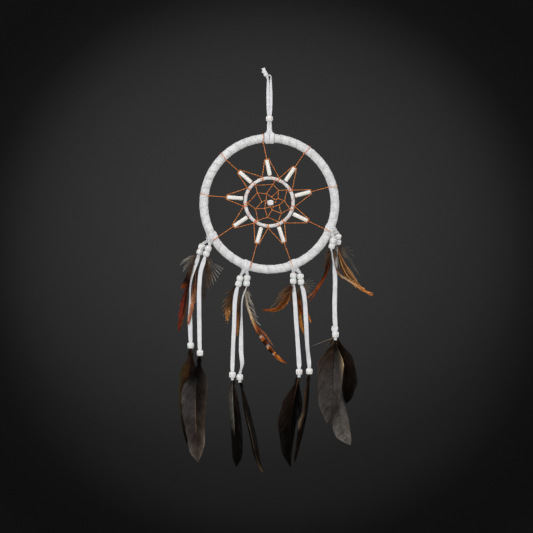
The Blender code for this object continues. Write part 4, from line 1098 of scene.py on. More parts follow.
# Each big feather: rows are (z, left edge, quill, right edge), bow bends it front to back, and paint and
# quill are its colours from the bead at 0 to the tip at 1.
FEATHERS = {
    "left_a_feather_vane": dict(
        strand="left_a", slot="dark_feather", replaced="left_a_feather",
        rows=((-318, -92.5, -89.2, -87.6), (-321.6, -95.9, -89.6, -85), (-333.9, -102, -91, -82.5),
              (-348.2, -103.2, -92.3, -81.5), (-372.6, -103.5, -95.9, -83), (-398.2, -101, -96.9, -88),
              (-411.4, -97.9, -96.4, -91.5)), tip=(-94.8, -421.1), y=3.8,
        bow=(2.0, 1.5),
        paint=((0, (44, 30, 20), (38, 26, 18), (30, 21, 15), (26, 20, 15)),
               (0.25, (60, 48, 20), (56, 36, 22), (32, 22, 16), (22, 16, 12)),
               (0.5, (62, 52, 26), (38, 28, 18), (18, 14, 11), (14, 11, 10)),
               (0.75, (44, 36, 26), (20, 16, 13), (14, 12, 10), BLACK),
               (1, (30, 24, 18), BLACK, BLACK, BLACK)),
        quill=((0, (40, 28, 20)), (1, (18, 14, 11))),
        count=230, reach=0.24),
    "left_b_feather_vane": dict(
        strand="left_b", slot="grey_feather", replaced="left_b_feather",
        rows=((-325, -82.5, -80, -77), (-333.8, -88, -80.6, -74), (-343, -94, -81.2, -69.3),
              (-360.3, -99.9, -83.4, -70.4), (-380, -100.5, -84.5, -72.4), (-398.2, -97.5, -84, -73.9),
              (-418.6, -93.3, -83.1, -73.5), (-431, -90.5, -82, -76.5)), tip=(-81.6, -441.6), y=-2.9,
        bow=(-1.5, 0.0),
        # the paler greys along the edges, most of all the right edge, are partly the feather's own grey and
        # partly painted highlight
        paint=((0, BLACK), (0.1, (18, 15, 13), BLACK, BLACK, (30, 25, 22)),
               (0.2, (36, 32, 30), (12, 10, 9), (22, 18, 16), (84, 76, 70)),
               (0.3, (78, 74, 73), (44, 41, 40), (24, 20, 18), (74, 64, 58)),
               (0.45, (76, 73, 72), (66, 62, 61), (26, 22, 19), (66, 54, 46)),
               (0.6, (60, 56, 54), (56, 51, 49), (40, 33, 28), (78, 64, 54)),
               (0.8, (78, 70, 66), (48, 42, 39), (46, 38, 32), (108, 96, 86)),
               (1, (124, 112, 102), (66, 57, 51), (66, 57, 51), (124, 112, 102))),
        quill=((0, BLACK), (0.35, (14, 12, 11)), (0.48, (104, 84, 70)), (0.72, (120, 98, 82)),
               (0.8, (60, 50, 43)), (1, (46, 39, 35))),
        count=260, reach=0.24, vary=0.13, rim=3.0),
    "lower_left_a_feather_vane": dict(
        strand="lower_left_a", slot="dark_feather", replaced="lower_left_a_feather",
        rows=((-351, -43.4, -42.2, -41), (-357.8, -46, -42.2, -36.5), (-378, -45.8, -41.6, -34.2),
              (-398, -44.6, -40.2, -31.4), (-420, -43.4, -38.7, -30.2), (-437, -42.2, -37.8, -31.5)),
              tip=(-37.8, -447.6), y=1.2,
        bow=(1.2, 1.0),
        paint=((0, (24, 20, 15), (30, 22, 17), (30, 20, 15), (22, 17, 13)),
               (0.2, (24, 20, 16), (22, 18, 15), (36, 25, 19), (24, 18, 14)),
               (0.4, (18, 15, 12), (12, 10, 9), (12, 10, 9), BLACK),
               (1, BLACK, (10, 9, 8), (9, 8, 7), BLACK)),
        quill=((0, (36, 28, 20)), (1, (14, 12, 10))),
        count=230, reach=0.26),
    "lower_left_b_feather_vane": dict(
        strand="lower_left_b", slot="grey_feather", replaced="lower_left_b_feather",
        rows=((-352.5, -34.4, -33.4, -32), (-361, -33.2, -31.4, -26.8), (-381.3, -29.5, -27.6, -22.4),
              (-398.1, -26, -23.9, -18.4), (-414.9, -22.1, -19.9, -14.2), (-435.9, -17.6, -15.2, -11)),
              tip=(-8.2, -453.5), y=0.4,
        bow=(-1.0, 0.5),
        paint=((0, (12, 10, 8), (12, 10, 8), (16, 13, 11), (14, 11, 9)),
               (0.3, (12, 10, 8), (14, 12, 9), (26, 21, 18), (14, 12, 10)),
               (0.6, (10, 9, 7), (16, 14, 10), (28, 23, 19), (12, 10, 8)),
               (0.9, (14, 12, 9), (26, 21, 14), (20, 16, 13), (14, 11, 9)),
               (1, (110, 82, 54), (120, 90, 58), (90, 66, 44), (40, 32, 24))),
        quill=((0, (20, 16, 12)), (0.3, (34, 30, 24)), (0.5, (84, 79, 66)), (0.7, (78, 72, 58)),
               (0.8, (40, 36, 28)), (1, (140, 100, 62))),
        count=220, reach=0.28),
    "lower_right_a_feather_vane": dict(
        strand="lower_right_a", slot="dark_feather", replaced="lower_right_a_feather",
        rows=((-347.5, 30.6, 32.6, 34.6), (-354.6, 23.6, 31.4, 37.4), (-370, 16.4, 28.4, 37.8),
              (-384, 12.4, 26.2, 37.2), (-397, 9.4, 25, 31.4), (-412, 11.2, 24.4, 28.8),
              (-432, 14.4, 24.2, 25.9)), tip=(24.4, -448.2), y=1.0,
        bow=(1.5, 1.0),
        paint=((0, (32, 21, 15), (28, 19, 14), (6, 5, 4), (8, 6, 5)),
               (0.25, (34, 22, 16), (22, 15, 11), (4, 3, 3), (6, 5, 4)),
               (0.5, (26, 17, 12), (14, 10, 7), (3, 3, 2), (10, 8, 6)),
               (0.75, (11, 8, 6), (6, 5, 4), (6, 5, 4), (14, 10, 8)),
               (0.92, (8, 6, 5), (6, 5, 4), (26, 19, 15), (34, 25, 20)),
               (1, BLACK, BLACK, (22, 16, 13), BLACK)),
        quill=((0, (104, 74, 54)), (0.14, (70, 49, 36)), (0.3, (30, 21, 15)), (1, (8, 6, 5))),
        count=240, reach=0.26),
    "lower_right_b_feather_vane": dict(
        strand="lower_right_b", slot="dark_feather", replaced="lower_right_b_feather",
        rows=((-343, 43.6, 45.4, 47.2), (-348, 41.6, 45, 47.6), (-358, 40, 43.5, 46.4),
              (-375.6, 39.2, 42, 44.8), (-388, 37.2, 40.8, 43), (-397.4, 33.4, 38, 41.2),
              (-409.2, 31.8, 35.8, 38.7), (-421.8, 30.3, 33, 35.3), (-434.4, 28.2, 30, 31.9)),
              tip=(28.9, -442.8), y=-0.4,
        bow=(-1.0, 0.3),
        paint=((0, (40, 27, 19), (26, 17, 12), (20, 13, 9), (20, 13, 9)),
               (0.15, (96, 72, 54), (40, 27, 19), (14, 10, 7), (12, 9, 6)),
               (0.42, (84, 64, 48), (18, 12, 9), (12, 8, 6), (16, 11, 8)),
               # the pale left edge here is a painted highlight where the vane's edge curls
               (0.56, (150, 126, 100), (24, 16, 12), (10, 7, 5), (14, 10, 7)),
               (0.64, (18, 13, 9), (10, 7, 5), (12, 9, 7), (16, 12, 9)),
               (1, (40, 30, 23), (22, 16, 12), (16, 12, 9), (14, 10, 8))),
        quill=((0, (30, 20, 14)), (1, (12, 9, 7))),
        count=200, reach=0.2),
    "right_a_feather_vane": dict(
        strand="right_a", slot="grey_feather", replaced="right_a_feather",
        rows=((-303.5, 70.6, 74.8, 78), (-307.5, 65.5, 74.6, 80.4), (-314, 58.5, 74.2, 83.2),
              (-326, 53.9, 73.2, 85.4), (-343.5, 54.8, 72.5, 83.9), (-360, 55.4, 72.5, 82.2),
              (-375, 56.2, 71.9, 78.5), (-388, 61, 69.8, 73.8)), tip=(66.2, -397.4), y=-4.2,
        bow=(-1.8, -0.5),
        paint=((0, (72, 52, 40), (36, 25, 18), (30, 22, 17), (128, 100, 72)),
               (0.12, (74, 54, 42), (42, 29, 21), (22, 18, 15), (206, 176, 136)),
               (0.28, (74, 58, 48), (48, 39, 34), (46, 43, 41), (204, 176, 136)),
               (0.42, (62, 54, 49), (56, 52, 49), (70, 67, 65), (120, 102, 82)),
               (0.6, (72, 67, 63), (60, 56, 53), (62, 59, 57), (84, 80, 76)),
               (0.8, (86, 81, 77), (58, 54, 51), (50, 46, 44), (66, 62, 59)),
               (1, (92, 87, 83), (66, 62, 59), (60, 56, 53), (62, 58, 55))),
        quill=((0, (12, 9, 7)), (0.35, (26, 22, 19)), (0.6, (24, 21, 19)), (1, (36, 32, 30))),
        count=250, reach=0.3, vary=0.15, rim=5.0),
    "right_b_feather_vane": dict(
        strand="right_b", slot="dark_feather", replaced="right_b_feather",
        rows=((-297, 76.6, 77.4, 78.4), (-303, 76, 78.2, 81.5), (-310.2, 77, 80, 86.8),
              (-321.6, 79.5, 84.2, 95.1), (-334.7, 82, 88.4, 98.6), (-350.5, 83, 91.5, 101.2),
              (-361, 83.5, 91.2, 97.7), (-370, 84.8, 89.8, 94.2)), tip=(88.1, -375.5), y=4.4,
        bow=(1.5, 0.5),
        paint=((0, (34, 23, 16), (30, 20, 14), (28, 19, 13), (26, 18, 12)),
               (0.4, (28, 20, 14), (24, 17, 12), (26, 18, 13), (22, 15, 11)),
               (0.75, (18, 13, 10), (14, 11, 8), (15, 11, 8), (16, 12, 9)), (1, BLACK)),
        quill=((0, (36, 25, 18)), (1, (14, 11, 9))),
        count=210, reach=0.28),
    "right_a_second_vane": dict(
        strand="right_a", slot="grey_feather", replaced="right_a_second_feather",
        rows=((-312, 74.6, 75.6, 76.6), (-345, 74.2, 76, 78.4), (-366, 73.2, 76.8, 81.5),
              (-378, 72.6, 78.6, 86.4), (-386.4, 72.4, 80, 89.2), (-400.4, 71.9, 82.6, 91.8),
              (-410, 74.5, 86, 93), (-416.5, 80, 88.5, 93.6)), tip=(92.6, -422.3), y=-1.6,
        bow=(1.0, 0.5),
        paint=((0, (56, 52, 49), (46, 42, 39), (46, 42, 39), (46, 42, 39)),
               (0.5, (46, 43, 41), (54, 50, 48), (70, 66, 63), (84, 80, 76)),
               (0.75, (76, 72, 69), (82, 78, 75), (82, 78, 74), (88, 82, 78)),
               (1, (136, 128, 120), (104, 97, 90), (98, 92, 86), (112, 104, 98))),
        quill=((0, (40, 35, 31)), (0.6, (52, 48, 45)), (1, (80, 75, 71))),
        count=260, reach=0.2, splits=12),
    # the narrow grey-brown feather with a pale quill, in front of the black one
    "lower_left_a_front_vane": dict(
        strand="lower_left_a", slot="dark_feather",
        rows=((-350, -43.2, -42.4, -41.6), (-360, -46.8, -42.4, -40.8), (-372, -46.6, -42, -40.2),
              (-386, -45.4, -41.2, -39.4), (-400, -44.2, -40.2, -38.6)), tip=(-39.6, -412), y=0.0,
        bow=(-0.8, 0.0),
        paint=((0, (36, 34, 22), (40, 34, 26), (50, 38, 30), (30, 24, 20)),
               (0.3, (60, 58, 50), (72, 68, 62), (30, 26, 22), (24, 20, 17)),
               (0.6, (54, 52, 47), (80, 77, 72), (28, 25, 22), (22, 19, 17)),
               (1, (26, 22, 18), (34, 30, 26), (22, 19, 16), (20, 17, 15))),
        quill=((0, (50, 42, 34)), (0.3, (120, 114, 106)), (0.7, (140, 136, 130)), (1, (60, 54, 48))),
        count=110, reach=0.2, splits=5),
}


def curved_vane(shape, y, path, paint, quill_colours, count, **how):
    """A slim feather: path rows are (x, depth from y, z, half width left, half width right)."""
    rows = smooth(np.array(path) + (0, y, 0, 0, 0), 14)
    run = np.concatenate([[0], np.cumsum(np.linalg.norm(np.diff(rows[:, :3], axis=0), axis=1))])
    evenly = np.linspace(0, run[-1], HACKLE_SAMPLES)
    rows = np.stack([np.interp(evenly, run, rows[:, i]) for i in range(5)], 1)
    quill = rows[:, :3]
    along = unit(np.gradient(quill, axis=0))
    side = unit(np.cross(along, np.array((0.0, 1.0, 0.0))))
    side = np.where((side[:, 0] > 0)[:, None], side, -side)
    left = quill - side * np.maximum(rows[:, 3:4], 0.05)
    right = quill + side * np.maximum(rows[:, 4:5], 0.05)
    barbs(shape, quill, left, right, paint, count, **how)
    shaft(shape, quill, quill_colours, 0.3, 0.08, 0.05)


def loose_barb(shape, y, points, colours, thick):
    """One long barb that hangs clear of the vane and thins towards its tip."""
    path = smooth([(x, y + depth, z) for x, depth, z in points], 8)
    u = np.linspace(0, 1, len(path))[:, None]
    a, b = (np.array(srgb(*c)) for c in colours)
    tube(shape, path, thick * (1 - 0.6 * u[:, 0]), 5, a * (1 - u) + b * u)


def layer(make, *args, **how):
    """One part of a hackle, for make to add to its shape at its strand's depth y."""
    return lambda shape, y: make(shape, y, *args, **how)


GREY_DOWN = (((70, 58, 48), (150, 140, 128)), ((60, 48, 40), (110, 98, 86)), ((90, 80, 70), (176, 168, 158)))
BROWN_DOWN = (((52, 38, 30), (96, 72, 56)), ((64, 48, 38), (128, 104, 84)), ((40, 30, 24), (84, 62, 48)))
WHITE_DOWN = (((150, 142, 132), (196, 192, 186)), ((120, 110, 100), (186, 180, 172)))
ORANGE_DOWN = (((110, 66, 36), (190, 126, 72)), ((90, 52, 30), (168, 104, 56)))
PALE_TIPS = ((84, 68, 56), (205, 200, 192))
GOLD_TIPS = ((60, 38, 22), (190, 138, 78))
RUST, GOLD, INK, WHITE = (176, 78, 24), (214, 132, 56), (26, 11, 6), (196, 188, 180)
# Roots and tips of the pale barbs along the barred hackle
PALE_BARBS = (((-26.4, -1.6, -247), ((-22.1, -254.5), (-20.4, -252))),
    ((-26.2, -1.6, -252), ((-19, -259.5), (-18.2, -262))),
    ((-25.4, -1.6, -257), ((-17.1, -263.8), (-16.4, -268.1))),
    ((-24, -1.6, -263), ((-15, -273.8), (-15.8, -271))),
    ((-22.4, -1.6, -269), ((-13.8, -280.2), (-12.8, -277))),
    ((-20, -1.6, -276), ((-12.4, -284.5), (-9.8, -286))))
# The (x, z) courses of the long golden barbs on the right
LONG_BARBS = (((79.4, -200), (84.6, -213), (93.8, -224.2), (102, -238)),
    ((78.8, -198), (82, -214), (90, -230.4), (95, -236.4)),
    ((79.6, -202), (88, -217), (96, -230), (99.6, -240)),
    ((79, -201), (82.6, -217), (88.4, -227), (97, -236)),
    ((79.8, -204), (89.6, -220), (98.6, -233), (106, -243.6)))
# Each strand's hackle, down and loose barbs; every depth is from the strand's own y
HACKLES = {
    "left_a": (
        layer(curved_vane,
            ((-80.6, 1.3, -206.2, 0.5, 0.5), (-85, 1.5, -217, 2.0, 2.0), (-90.4, 1.3, -230, 1.4, 1.2),
             (-95, -0.4, -246, 1.9, 1.7), (-98, -1.8, -264, 4.4, 3.2), (-101.6, -1.7, -281, 2.6, 2.2),
             (-103.8, -1.6, -292, 0.4, 0.4)),
            ((0, (70, 56, 46), (60, 46, 36)), (0.3, (56, 36, 26), (50, 32, 24), (40, 26, 18), (40, 26, 18)),
             (0.48, (76, 30, 20), (84, 34, 22), (30, 14, 10), (60, 34, 22)),
             (0.7, (112, 40, 26), (100, 34, 20), (36, 15, 10), (110, 60, 34)),
             (0.9, (120, 44, 24), (120, 42, 22), (80, 30, 16), (120, 60, 30)), (1, (104, 44, 28))),
            ((0, (120, 104, 88)), (0.45, (40, 18, 12)), (0.8, (30, 14, 10)), (1, (110, 44, 22))), 150,
            reach=0.26, hold=0.5, stray=0.5, splits=8, uneven=0.08, vary=0.34),
        layer(curved_vane,
            ((-80.8, 1.0, -206.2, 0.5, 0.5), (-86, 0.9, -217, 2.6, 1.6), (-91.6, 0.6, -229, 3.6, 2.2),
             (-96.2, 0.2, -238, 3.2, 2.6), (-100.8, 0.0, -243.4, 1.0, 1.0)),
            ((0, (96, 78, 62)), (0.35, (70, 50, 36)), (0.55, (28, 14, 9)), (0.8, (26, 12, 8)),
             (0.92, (120, 52, 20)), (1, (150, 70, 28))),
            ((0, (120, 102, 84)), (0.6, (40, 20, 12)), (1, (120, 56, 24))), 110, reach=0.26, hold=0.6,
            stray=0.5, splits=6, uneven=0.08, vary=0.3),
        layer(curved_vane,
            ((-81.4, 1.3, -208, 0.5, 0.5), (-84.2, 1.5, -226, 1.8, 1.4), (-85.6, -0.2, -244, 2.2, 1.5),
             (-87.6, -2.4, -260, 2.6, 1.7), (-91, -2.6, -276, 2.0, 1.4), (-93.2, -2.4, -284.5, 0.3, 0.3)),
            ((0, (74, 58, 46), (74, 58, 46), (64, 50, 40), (54, 40, 32)),
             (0.3, (48, 30, 20), (40, 24, 16), (40, 24, 16), (40, 24, 16)),
             (0.48, (150, 84, 40), (60, 34, 20), (30, 18, 12), (190, 110, 56)),
             (0.68, (214, 158, 124), (196, 128, 88), (150, 84, 48), (214, 150, 104)),
             (0.85, (218, 166, 136), (206, 140, 104), (180, 104, 70), (196, 122, 84)),
             (1, (176, 90, 56), (176, 90, 56), (160, 76, 46), (150, 70, 40))),
            ((0, (110, 90, 72)), (0.6, (206, 160, 124)), (1, (200, 124, 84))), 130, reach=0.26, hold=0.5,
            stray=0.4, splits=7, uneven=0.1, vary=0.3),
        layer(hairs, (-81.4, 1.4, -206.6),
            ((-96.5, 0, -213.5), (-92, 1, -207.5), (-95, 0, -220), (-94, 0, -226), (-91, 1, -214)), 60,
            BROWN_DOWN + GREY_DOWN, 1.4, 0.12, 2.2),
        layer(spikes, (-82, 1.2, -206.8),
            ((-101.5, -214), (-99.5, -211.5), (-102.5, -216.5), (-93.5, -207.4), (-98.5, -220.5),
             (-99.2, -224), (-97, -217.5), (-95.5, -210)), PALE_TIPS, 0.3, 1.8),
        layer(hairs, (-84.6, 1.3, -216), ((-97, -1, -228), (-95, -2, -236), (-88, -2, -238)), 50, BROWN_DOWN,
            1.6, 0.12, 2.0, 1.8),
    ),
    "left_b": (
        layer(hairs, (-72.6, 1.6, -208), ((-66, 1, -213), (-65, 1, -220), (-67, 0, -226), (-67, 1, -216)),
            60, (((96, 84, 72), (176, 160, 142)), ((70, 56, 46), (130, 112, 94))), 1.2, 0.15, 1.4, 1.3),
        layer(hairs, (-73.6, 1.6, -213),
            ((-64, 0, -223), (-63, 0, -230), (-65, 0, -236), (-67.5, 0, -241.5), (-69, 2, -246)), 80,
            BROWN_DOWN, 1.3, 0.12, 1.2, 1.6),
        layer(spikes, (-72, 1.4, -214),
            ((-52.6, -221.4), (-54.6, -223.6), (-56.4, -227.4), (-58.2, -231.4), (-60.8, -235.4),
             (-63.6, -239.4), (-59, -224.8)), ((52, 38, 30), (222, 218, 212)), 0.3, 1.6),
        layer(spikes, (-74, 1.5, -218),
            ((-63, -228), (-61.4, -231), (-64.6, -235), (-67, -238), (-66, -243.5), (-69, -246),
             (-62, -224)), ((60, 42, 32), (150, 116, 92)), 0.24, 1.2),
        layer(curved_vane,
            ((-72.9, 1.5, -207.8, 0.5, 0.5), (-72, 2.0, -218, 2.5, 4.6), (-72.5, 2.3, -230, 3.0, 5.6),
             (-74, 2.4, -244, 2.4, 3.4), (-76, 2.4, -256, 0.4, 0.4)),
            ((0, (100, 86, 74)), (0.5, (58, 40, 30)), (1, (44, 24, 16))),
            ((0, (110, 96, 82)), (1, (60, 36, 26))), 46, reach=0.34, hold=0.16, stray=1.3, splits=4,
            uneven=0.25, vary=0.4),
    ),
    "lower_left_a": (
        layer(curved_vane,
            ((-36.4, 1.3, -242, 0.5, 0.5), (-40, 1.8, -250, 4.4, 2.5), (-44.4, 2.0, -260, 5.4, 3.6),
             (-46.8, 2.1, -270, 3.8, 2.8), (-48.2, 2.1, -280, 0.3, 0.3)),
            ((0, (96, 80, 64)), (0.35, (74, 52, 38)), (0.6, (104, 70, 38)), (0.85, (160, 110, 58)),
             (1, (176, 128, 74))), ((0, (120, 104, 88)), (0.6, (110, 76, 44)), (1, (206, 150, 84))), 84,
            reach=0.38, hold=0.26, stray=1.0, splits=6, uneven=0.16, vary=0.6),
        layer(hairs, (-37.5, 1.6, -244), ((-50, 1, -256), (-51.5, 1, -266), (-48, 1, -248), (-46, 1, -272)),
            100, BROWN_DOWN, 1.6, 0.13, 2.0, 1.6),
        layer(spikes, (-38.5, 1.4, -247),
            ((-50.6, -249), (-53.4, -259), (-54.2, -265), (-53.6, -270), (-52.6, -275), (-50.6, -277.5),
             (-48.4, -284), (-46.4, -276), (-45.6, -271), (-44.6, -266)), GOLD_TIPS, 0.34, 1.0),
        layer(spikes, (-40, 1.2, -252),
            ((-51, -256), (-50.6, -262), (-49.4, -268), (-47, -272), (-44.4, -278), (-51.8, -271)),
            ((34, 22, 15), (84, 52, 30)), 0.36, 0.8),
        layer(curved_vane,
            ((-35.6, 1.4, -242.2, 0.5, 0.5), (-35.6, 1.9, -256, 2.8, 2.6), (-36.4, 2.0, -272, 2.4, 2.0),
             (-36.8, 2.0, -288, 1.5, 1.3), (-37, 1.9, -297.5, 0.2, 0.2)),
            ((0, (110, 96, 80)), (0.3, (84, 62, 46)), (0.5, (50, 28, 16)), (0.75, (150, 92, 40)),
             (1, (160, 100, 48))), ((0, (120, 104, 88)), (1, (160, 100, 48))), 90, reach=0.28, hold=0.46,
            stray=0.5, splits=5, uneven=0.12, vary=0.35),
    ),
    "lower_left_b": (
        layer(curved_vane,
            ((-27, -1.4, -241.8, 0.4, 0.4), (-26.6, -1.6, -256.1, 1.1, 1.4), (-22.3, -1.7, -272.8, 1.2, 1.8),
             (-14.8, -1.7, -290.5, 1.5, 2.6), (-7.2, -1.6, -302.6, 2.1, 3.0), (5.0, -1.5, -318, 2.2, 2.8),
             (13, -1.4, -325, 1.8, 1.9), (20.2, -1.4, -329.2, 0.3, 0.3)),
            ((0, (120, 104, 88), (128, 114, 98), (150, 138, 122), (160, 150, 138)),
             (0.25, (120, 100, 80), (186, 170, 148), (196, 182, 160), (180, 172, 162)),
             (0.38, (140, 92, 56), (206, 178, 140), (200, 160, 110), (190, 150, 104)),
             (0.46, (160, 76, 28), (214, 164, 104), RUST, (190, 100, 44)),
             (0.5, RUST, (200, 110, 44), (120, 48, 16), (186, 90, 36)),
             (0.53, (90, 34, 12), INK, INK, (150, 66, 24)), (0.56, INK, INK, INK, RUST),
             (0.585, INK, WHITE, WHITE, RUST), (0.6, INK, RUST, RUST, GOLD), (0.62, RUST, GOLD, RUST, GOLD),
             (0.64, INK), (0.69, INK, INK, INK, RUST), (0.71, INK, WHITE, WHITE, INK), (0.73, GOLD, RUST),
             (0.75, INK, INK, INK, GOLD), (0.8, INK, INK, INK, RUST), (0.82, RUST, WHITE, GOLD, GOLD),
             (0.84, INK, RUST, INK, INK), (0.87, GOLD, INK, GOLD, GOLD), (0.93, RUST, GOLD, RUST, RUST),
             (1, (90, 54, 34), (110, 66, 40), (90, 54, 34), (60, 40, 30))),
            ((0, (170, 158, 140)), (0.35, (214, 198, 170)), (0.55, (206, 150, 90)), (0.6, (110, 60, 30)),
             (1, (150, 80, 36))), 230, reach=0.09, hold=0.62, stray=0.2, splits=10, uneven=0.08, camber=0.4,
            vary=0.18),
        layer(hairs, (-26.6, -1.4, -246), ((-22, -1, -256), (-21, -1, -262), (-19.5, -1, -266)), 24,
            WHITE_DOWN, 0.9, 0.1, 1.0, 1.6),
        *(layer(spikes, root, tips, ((170, 156, 136), (220, 214, 206)), 0.26, 0.7, 0.3)
          for root, tips in PALE_BARBS),
        layer(spikes, (-14, -1.6, -288), ((3.2, -308), (5.4, -310), (2.0, -303.5), (-1.0, -299)),
            ((170, 84, 34), (214, 140, 96)), 0.24, 1.2),
        layer(hairs, (-27.5, -0.5, -243),
            ((-33, 1.5, -256), (-31, 1.5, -266), (-24, 0, -262), (-20, -1, -250)), 70,
            GREY_DOWN + BROWN_DOWN, 1.5, 0.13, 1.6, 1.2),
    ),
    "lower_right_a": (
        layer(curved_vane,
            ((27.1, -1.4, -239, 0.4, 0.4), (25.4, -1.6, -244, 1.8, 1.6), (21.6, -1.7, -252.2, 3.4, 2.8),
             (16.2, -1.7, -261, 4.4, 3.0), (10, -1.6, -266.6, 3.0, 2.4), (2.0, -1.5, -268.4, 1.5, 1.6),
             (-8.4, -1.4, -267.6, 0.3, 0.3)),
            ((0, (96, 66, 44), (84, 56, 36), (84, 56, 36), (96, 66, 44)),
             (0.25, (110, 72, 40), (66, 38, 20), (56, 32, 18), (110, 70, 36)),
             (0.5, (150, 96, 46), (90, 46, 16), (96, 50, 18), (186, 118, 52)),
             (0.7, (176, 106, 42), (140, 70, 22), (120, 58, 18), (190, 118, 50)),
             (0.9, (150, 74, 26), (150, 74, 26), (140, 66, 22), (150, 76, 28)), (1, (120, 58, 24))),
            ((0, (96, 70, 50)), (0.5, (50, 26, 12)), (1, (150, 76, 28))), 130, reach=0.28, hold=0.56,
            stray=0.4, splits=8, uneven=0.1, camber=0.4, vary=0.35),
        layer(hairs, (25.6, -1.2, -243),
            ((12, -1, -252), (9, -1, -260), (11, -1, -256), (6, -1.5, -270), (19, -1, -245)), 70,
            BROWN_DOWN + ORANGE_DOWN, 1.2, 0.12, 2.0, 1.4),
        layer(spikes, (23.6, -1.6, -247),
            ((9.0, -251.5), (6.4, -258), (5.2, -262), (10.6, -249), (13.2, -247), (7.6, -255), (2.6, -272),
             (3.6, -274.5), (0.8, -266)), GOLD_TIPS, 0.2, 1.6),
        layer(curved_vane,
            ((28, 1.4, -240, 0.4, 0.4), (26.8, 1.8, -250, 1.8, 1.6), (26.4, 1.9, -260, 1.2, 1.2),
             (27, 1.9, -268, 0.2, 0.2)), ((0, (100, 70, 46)), (1, (84, 44, 22))),
            ((0, (90, 70, 50)), (1, (60, 36, 24))), 50, reach=0.3, hold=0.45, stray=0.4, splits=4,
            uneven=0.1, vary=0.35),
    ),
    "lower_right_b": (
        layer(curved_vane,
            ((35.8, 1.2, -240, 0.4, 0.4), (33.4, 1.6, -247, 2.4, 2.0), (33.4, 1.8, -257, 3.0, 2.2),
             (36, 1.9, -268, 1.8, 1.8), (37.4, 1.9, -273.5, 0.2, 0.2)),
            ((0, (110, 88, 68), (104, 82, 62), (104, 82, 62), (110, 88, 68)),
             (0.35, (90, 60, 36), (56, 36, 24), (56, 36, 24), (90, 60, 36)),
             (0.55, (176, 92, 34), (110, 52, 18), (80, 36, 14), (170, 88, 32)),
             (0.7, (120, 56, 20), (20, 10, 6), (20, 10, 6), (150, 70, 24)),
             (0.85, (190, 104, 38), (30, 14, 8), (30, 14, 8), (190, 104, 38)),
             (1, (170, 84, 30), (150, 70, 26), (150, 70, 26), (150, 70, 26))),
            ((0, (110, 92, 74)), (1, (110, 58, 24))), 90, reach=0.26, hold=0.56, stray=0.4, splits=5,
            uneven=0.1, vary=0.3),
        layer(curved_vane,
            ((35.6, 2.0, -241, 0.4, 0.4), (34, 2.4, -256, 1.4, 1.4), (34.2, 2.5, -270, 1.9, 1.9),
             (36.4, 2.5, -284, 2.3, 1.9), (39.8, 2.4, -296, 0.2, 0.2)),
            ((0, (84, 66, 50)), (0.4, (96, 58, 28)), (0.65, (156, 100, 40)), (1, (176, 112, 44))),
            ((0, (96, 76, 58)), (0.6, (80, 46, 20)), (1, (150, 92, 36))), 90, reach=0.24, hold=0.58,
            stray=0.25, splits=4, uneven=0.06, vary=0.3),
        layer(curved_vane,
            ((36.6, 1.4, -240, 0.3, 0.3), (39.6, 1.9, -254, 1.2, 1.8), (42.4, 2.0, -268, 1.4, 1.6),
             (47.2, 1.9, -282, 0.2, 0.2)),
            ((0, (90, 72, 56)), (0.6, (120, 78, 38)), (0.85, (200, 116, 40)), (1, (200, 116, 40))),
            ((0, (100, 80, 60)), (1, (190, 108, 40))), 60, reach=0.3, hold=0.42, stray=0.5, splits=4,
            uneven=0.1, vary=0.35),
        layer(hairs, (37, 1.0, -240.5), ((45.5, 0, -237), (46, 0, -241), (44, 0, -247), (43, 1, -252)), 80,
            GREY_DOWN + BROWN_DOWN, 1.4, 0.12, 1.6, 1.4),
        layer(spikes, (37.5, 0.6, -241),
            ((51.6, -233.6), (52.8, -237.6), (51.8, -241), (50, -244), (47.4, -231.2), (49, -248.6),
             (48.4, -252)), PALE_TIPS, 0.17, 1.0),
    ),
    "right_a": (
        layer(curved_vane,
            ((71.2, 1.4, -199, 0.4, 0.4), (68.6, 1.8, -206, 4.6, 2.2), (67.2, 1.9, -216, 4.0, 2.6),
             (64.6, 1.9, -226, 1.9, 1.5), (58.6, 1.8, -237, 1.0, 1.0), (51.6, 1.7, -246, 0.7, 0.8),
             (44, 1.6, -253.8, 0.2, 0.2)),
            ((0, (90, 64, 46), (80, 56, 40), (74, 52, 38), (74, 52, 38)),
             (0.22, (96, 62, 36), (34, 20, 12), (26, 15, 10), (40, 26, 18)),
             (0.42, (56, 30, 16), (16, 8, 5), (14, 8, 5), (60, 32, 16)),
             (0.58, (110, 52, 20), (56, 26, 12), (40, 20, 10), (110, 54, 22)),
             (0.8, (190, 108, 46), (110, 54, 22), (90, 44, 18), (170, 92, 38)),
             (1, (196, 118, 60), (190, 110, 54), (180, 100, 48), (180, 100, 48))),
            ((0, (100, 74, 52)), (0.4, (40, 20, 12)), (0.65, (190, 104, 44)), (1, (196, 118, 60))), 130,
            reach=0.28, hold=0.58, stray=0.35, splits=8, uneven=0.1, vary=0.3),
        layer(curved_vane,
            ((70.6, 1.0, -203, 0.3, 0.3), (66, 1.2, -224, 1.0, 1.0), (57.6, 1.2, -240, 0.9, 0.9),
             (46, 1.1, -258.6, 0.15, 0.15)),
            ((0, (50, 30, 20)), (0.4, (90, 40, 16)), (0.6, (150, 66, 24)), (1, (150, 66, 28))),
            ((0, (60, 40, 28)), (1, (150, 70, 30))), 60, reach=0.3, hold=0.5, stray=0.3, splits=3,
            uneven=0.1, vary=0.3),
        layer(hairs, (71, 1.4, -199.5), ((63.5, 0, -206), (64, 0, -212), (62.5, 0, -216), (66, 1, -202)), 70,
            BROWN_DOWN, 1.4, 0.13, 1.6, 1.4),
    ),
    "right_b": (
        layer(curved_vane,
            ((78.6, -1.4, -194.9, 0.4, 0.4), (80.6, -1.6, -208, 2.0, 2.0), (85.4, -1.7, -221, 3.2, 3.8),
             (92.6, -1.7, -232.5, 3.0, 4.2), (104, -1.6, -243, 1.6, 2.2), (117.4, -1.5, -250.8, 0.2, 0.2)),
            ((0, (120, 98, 76), (110, 88, 66), (110, 88, 66), (120, 98, 76)),
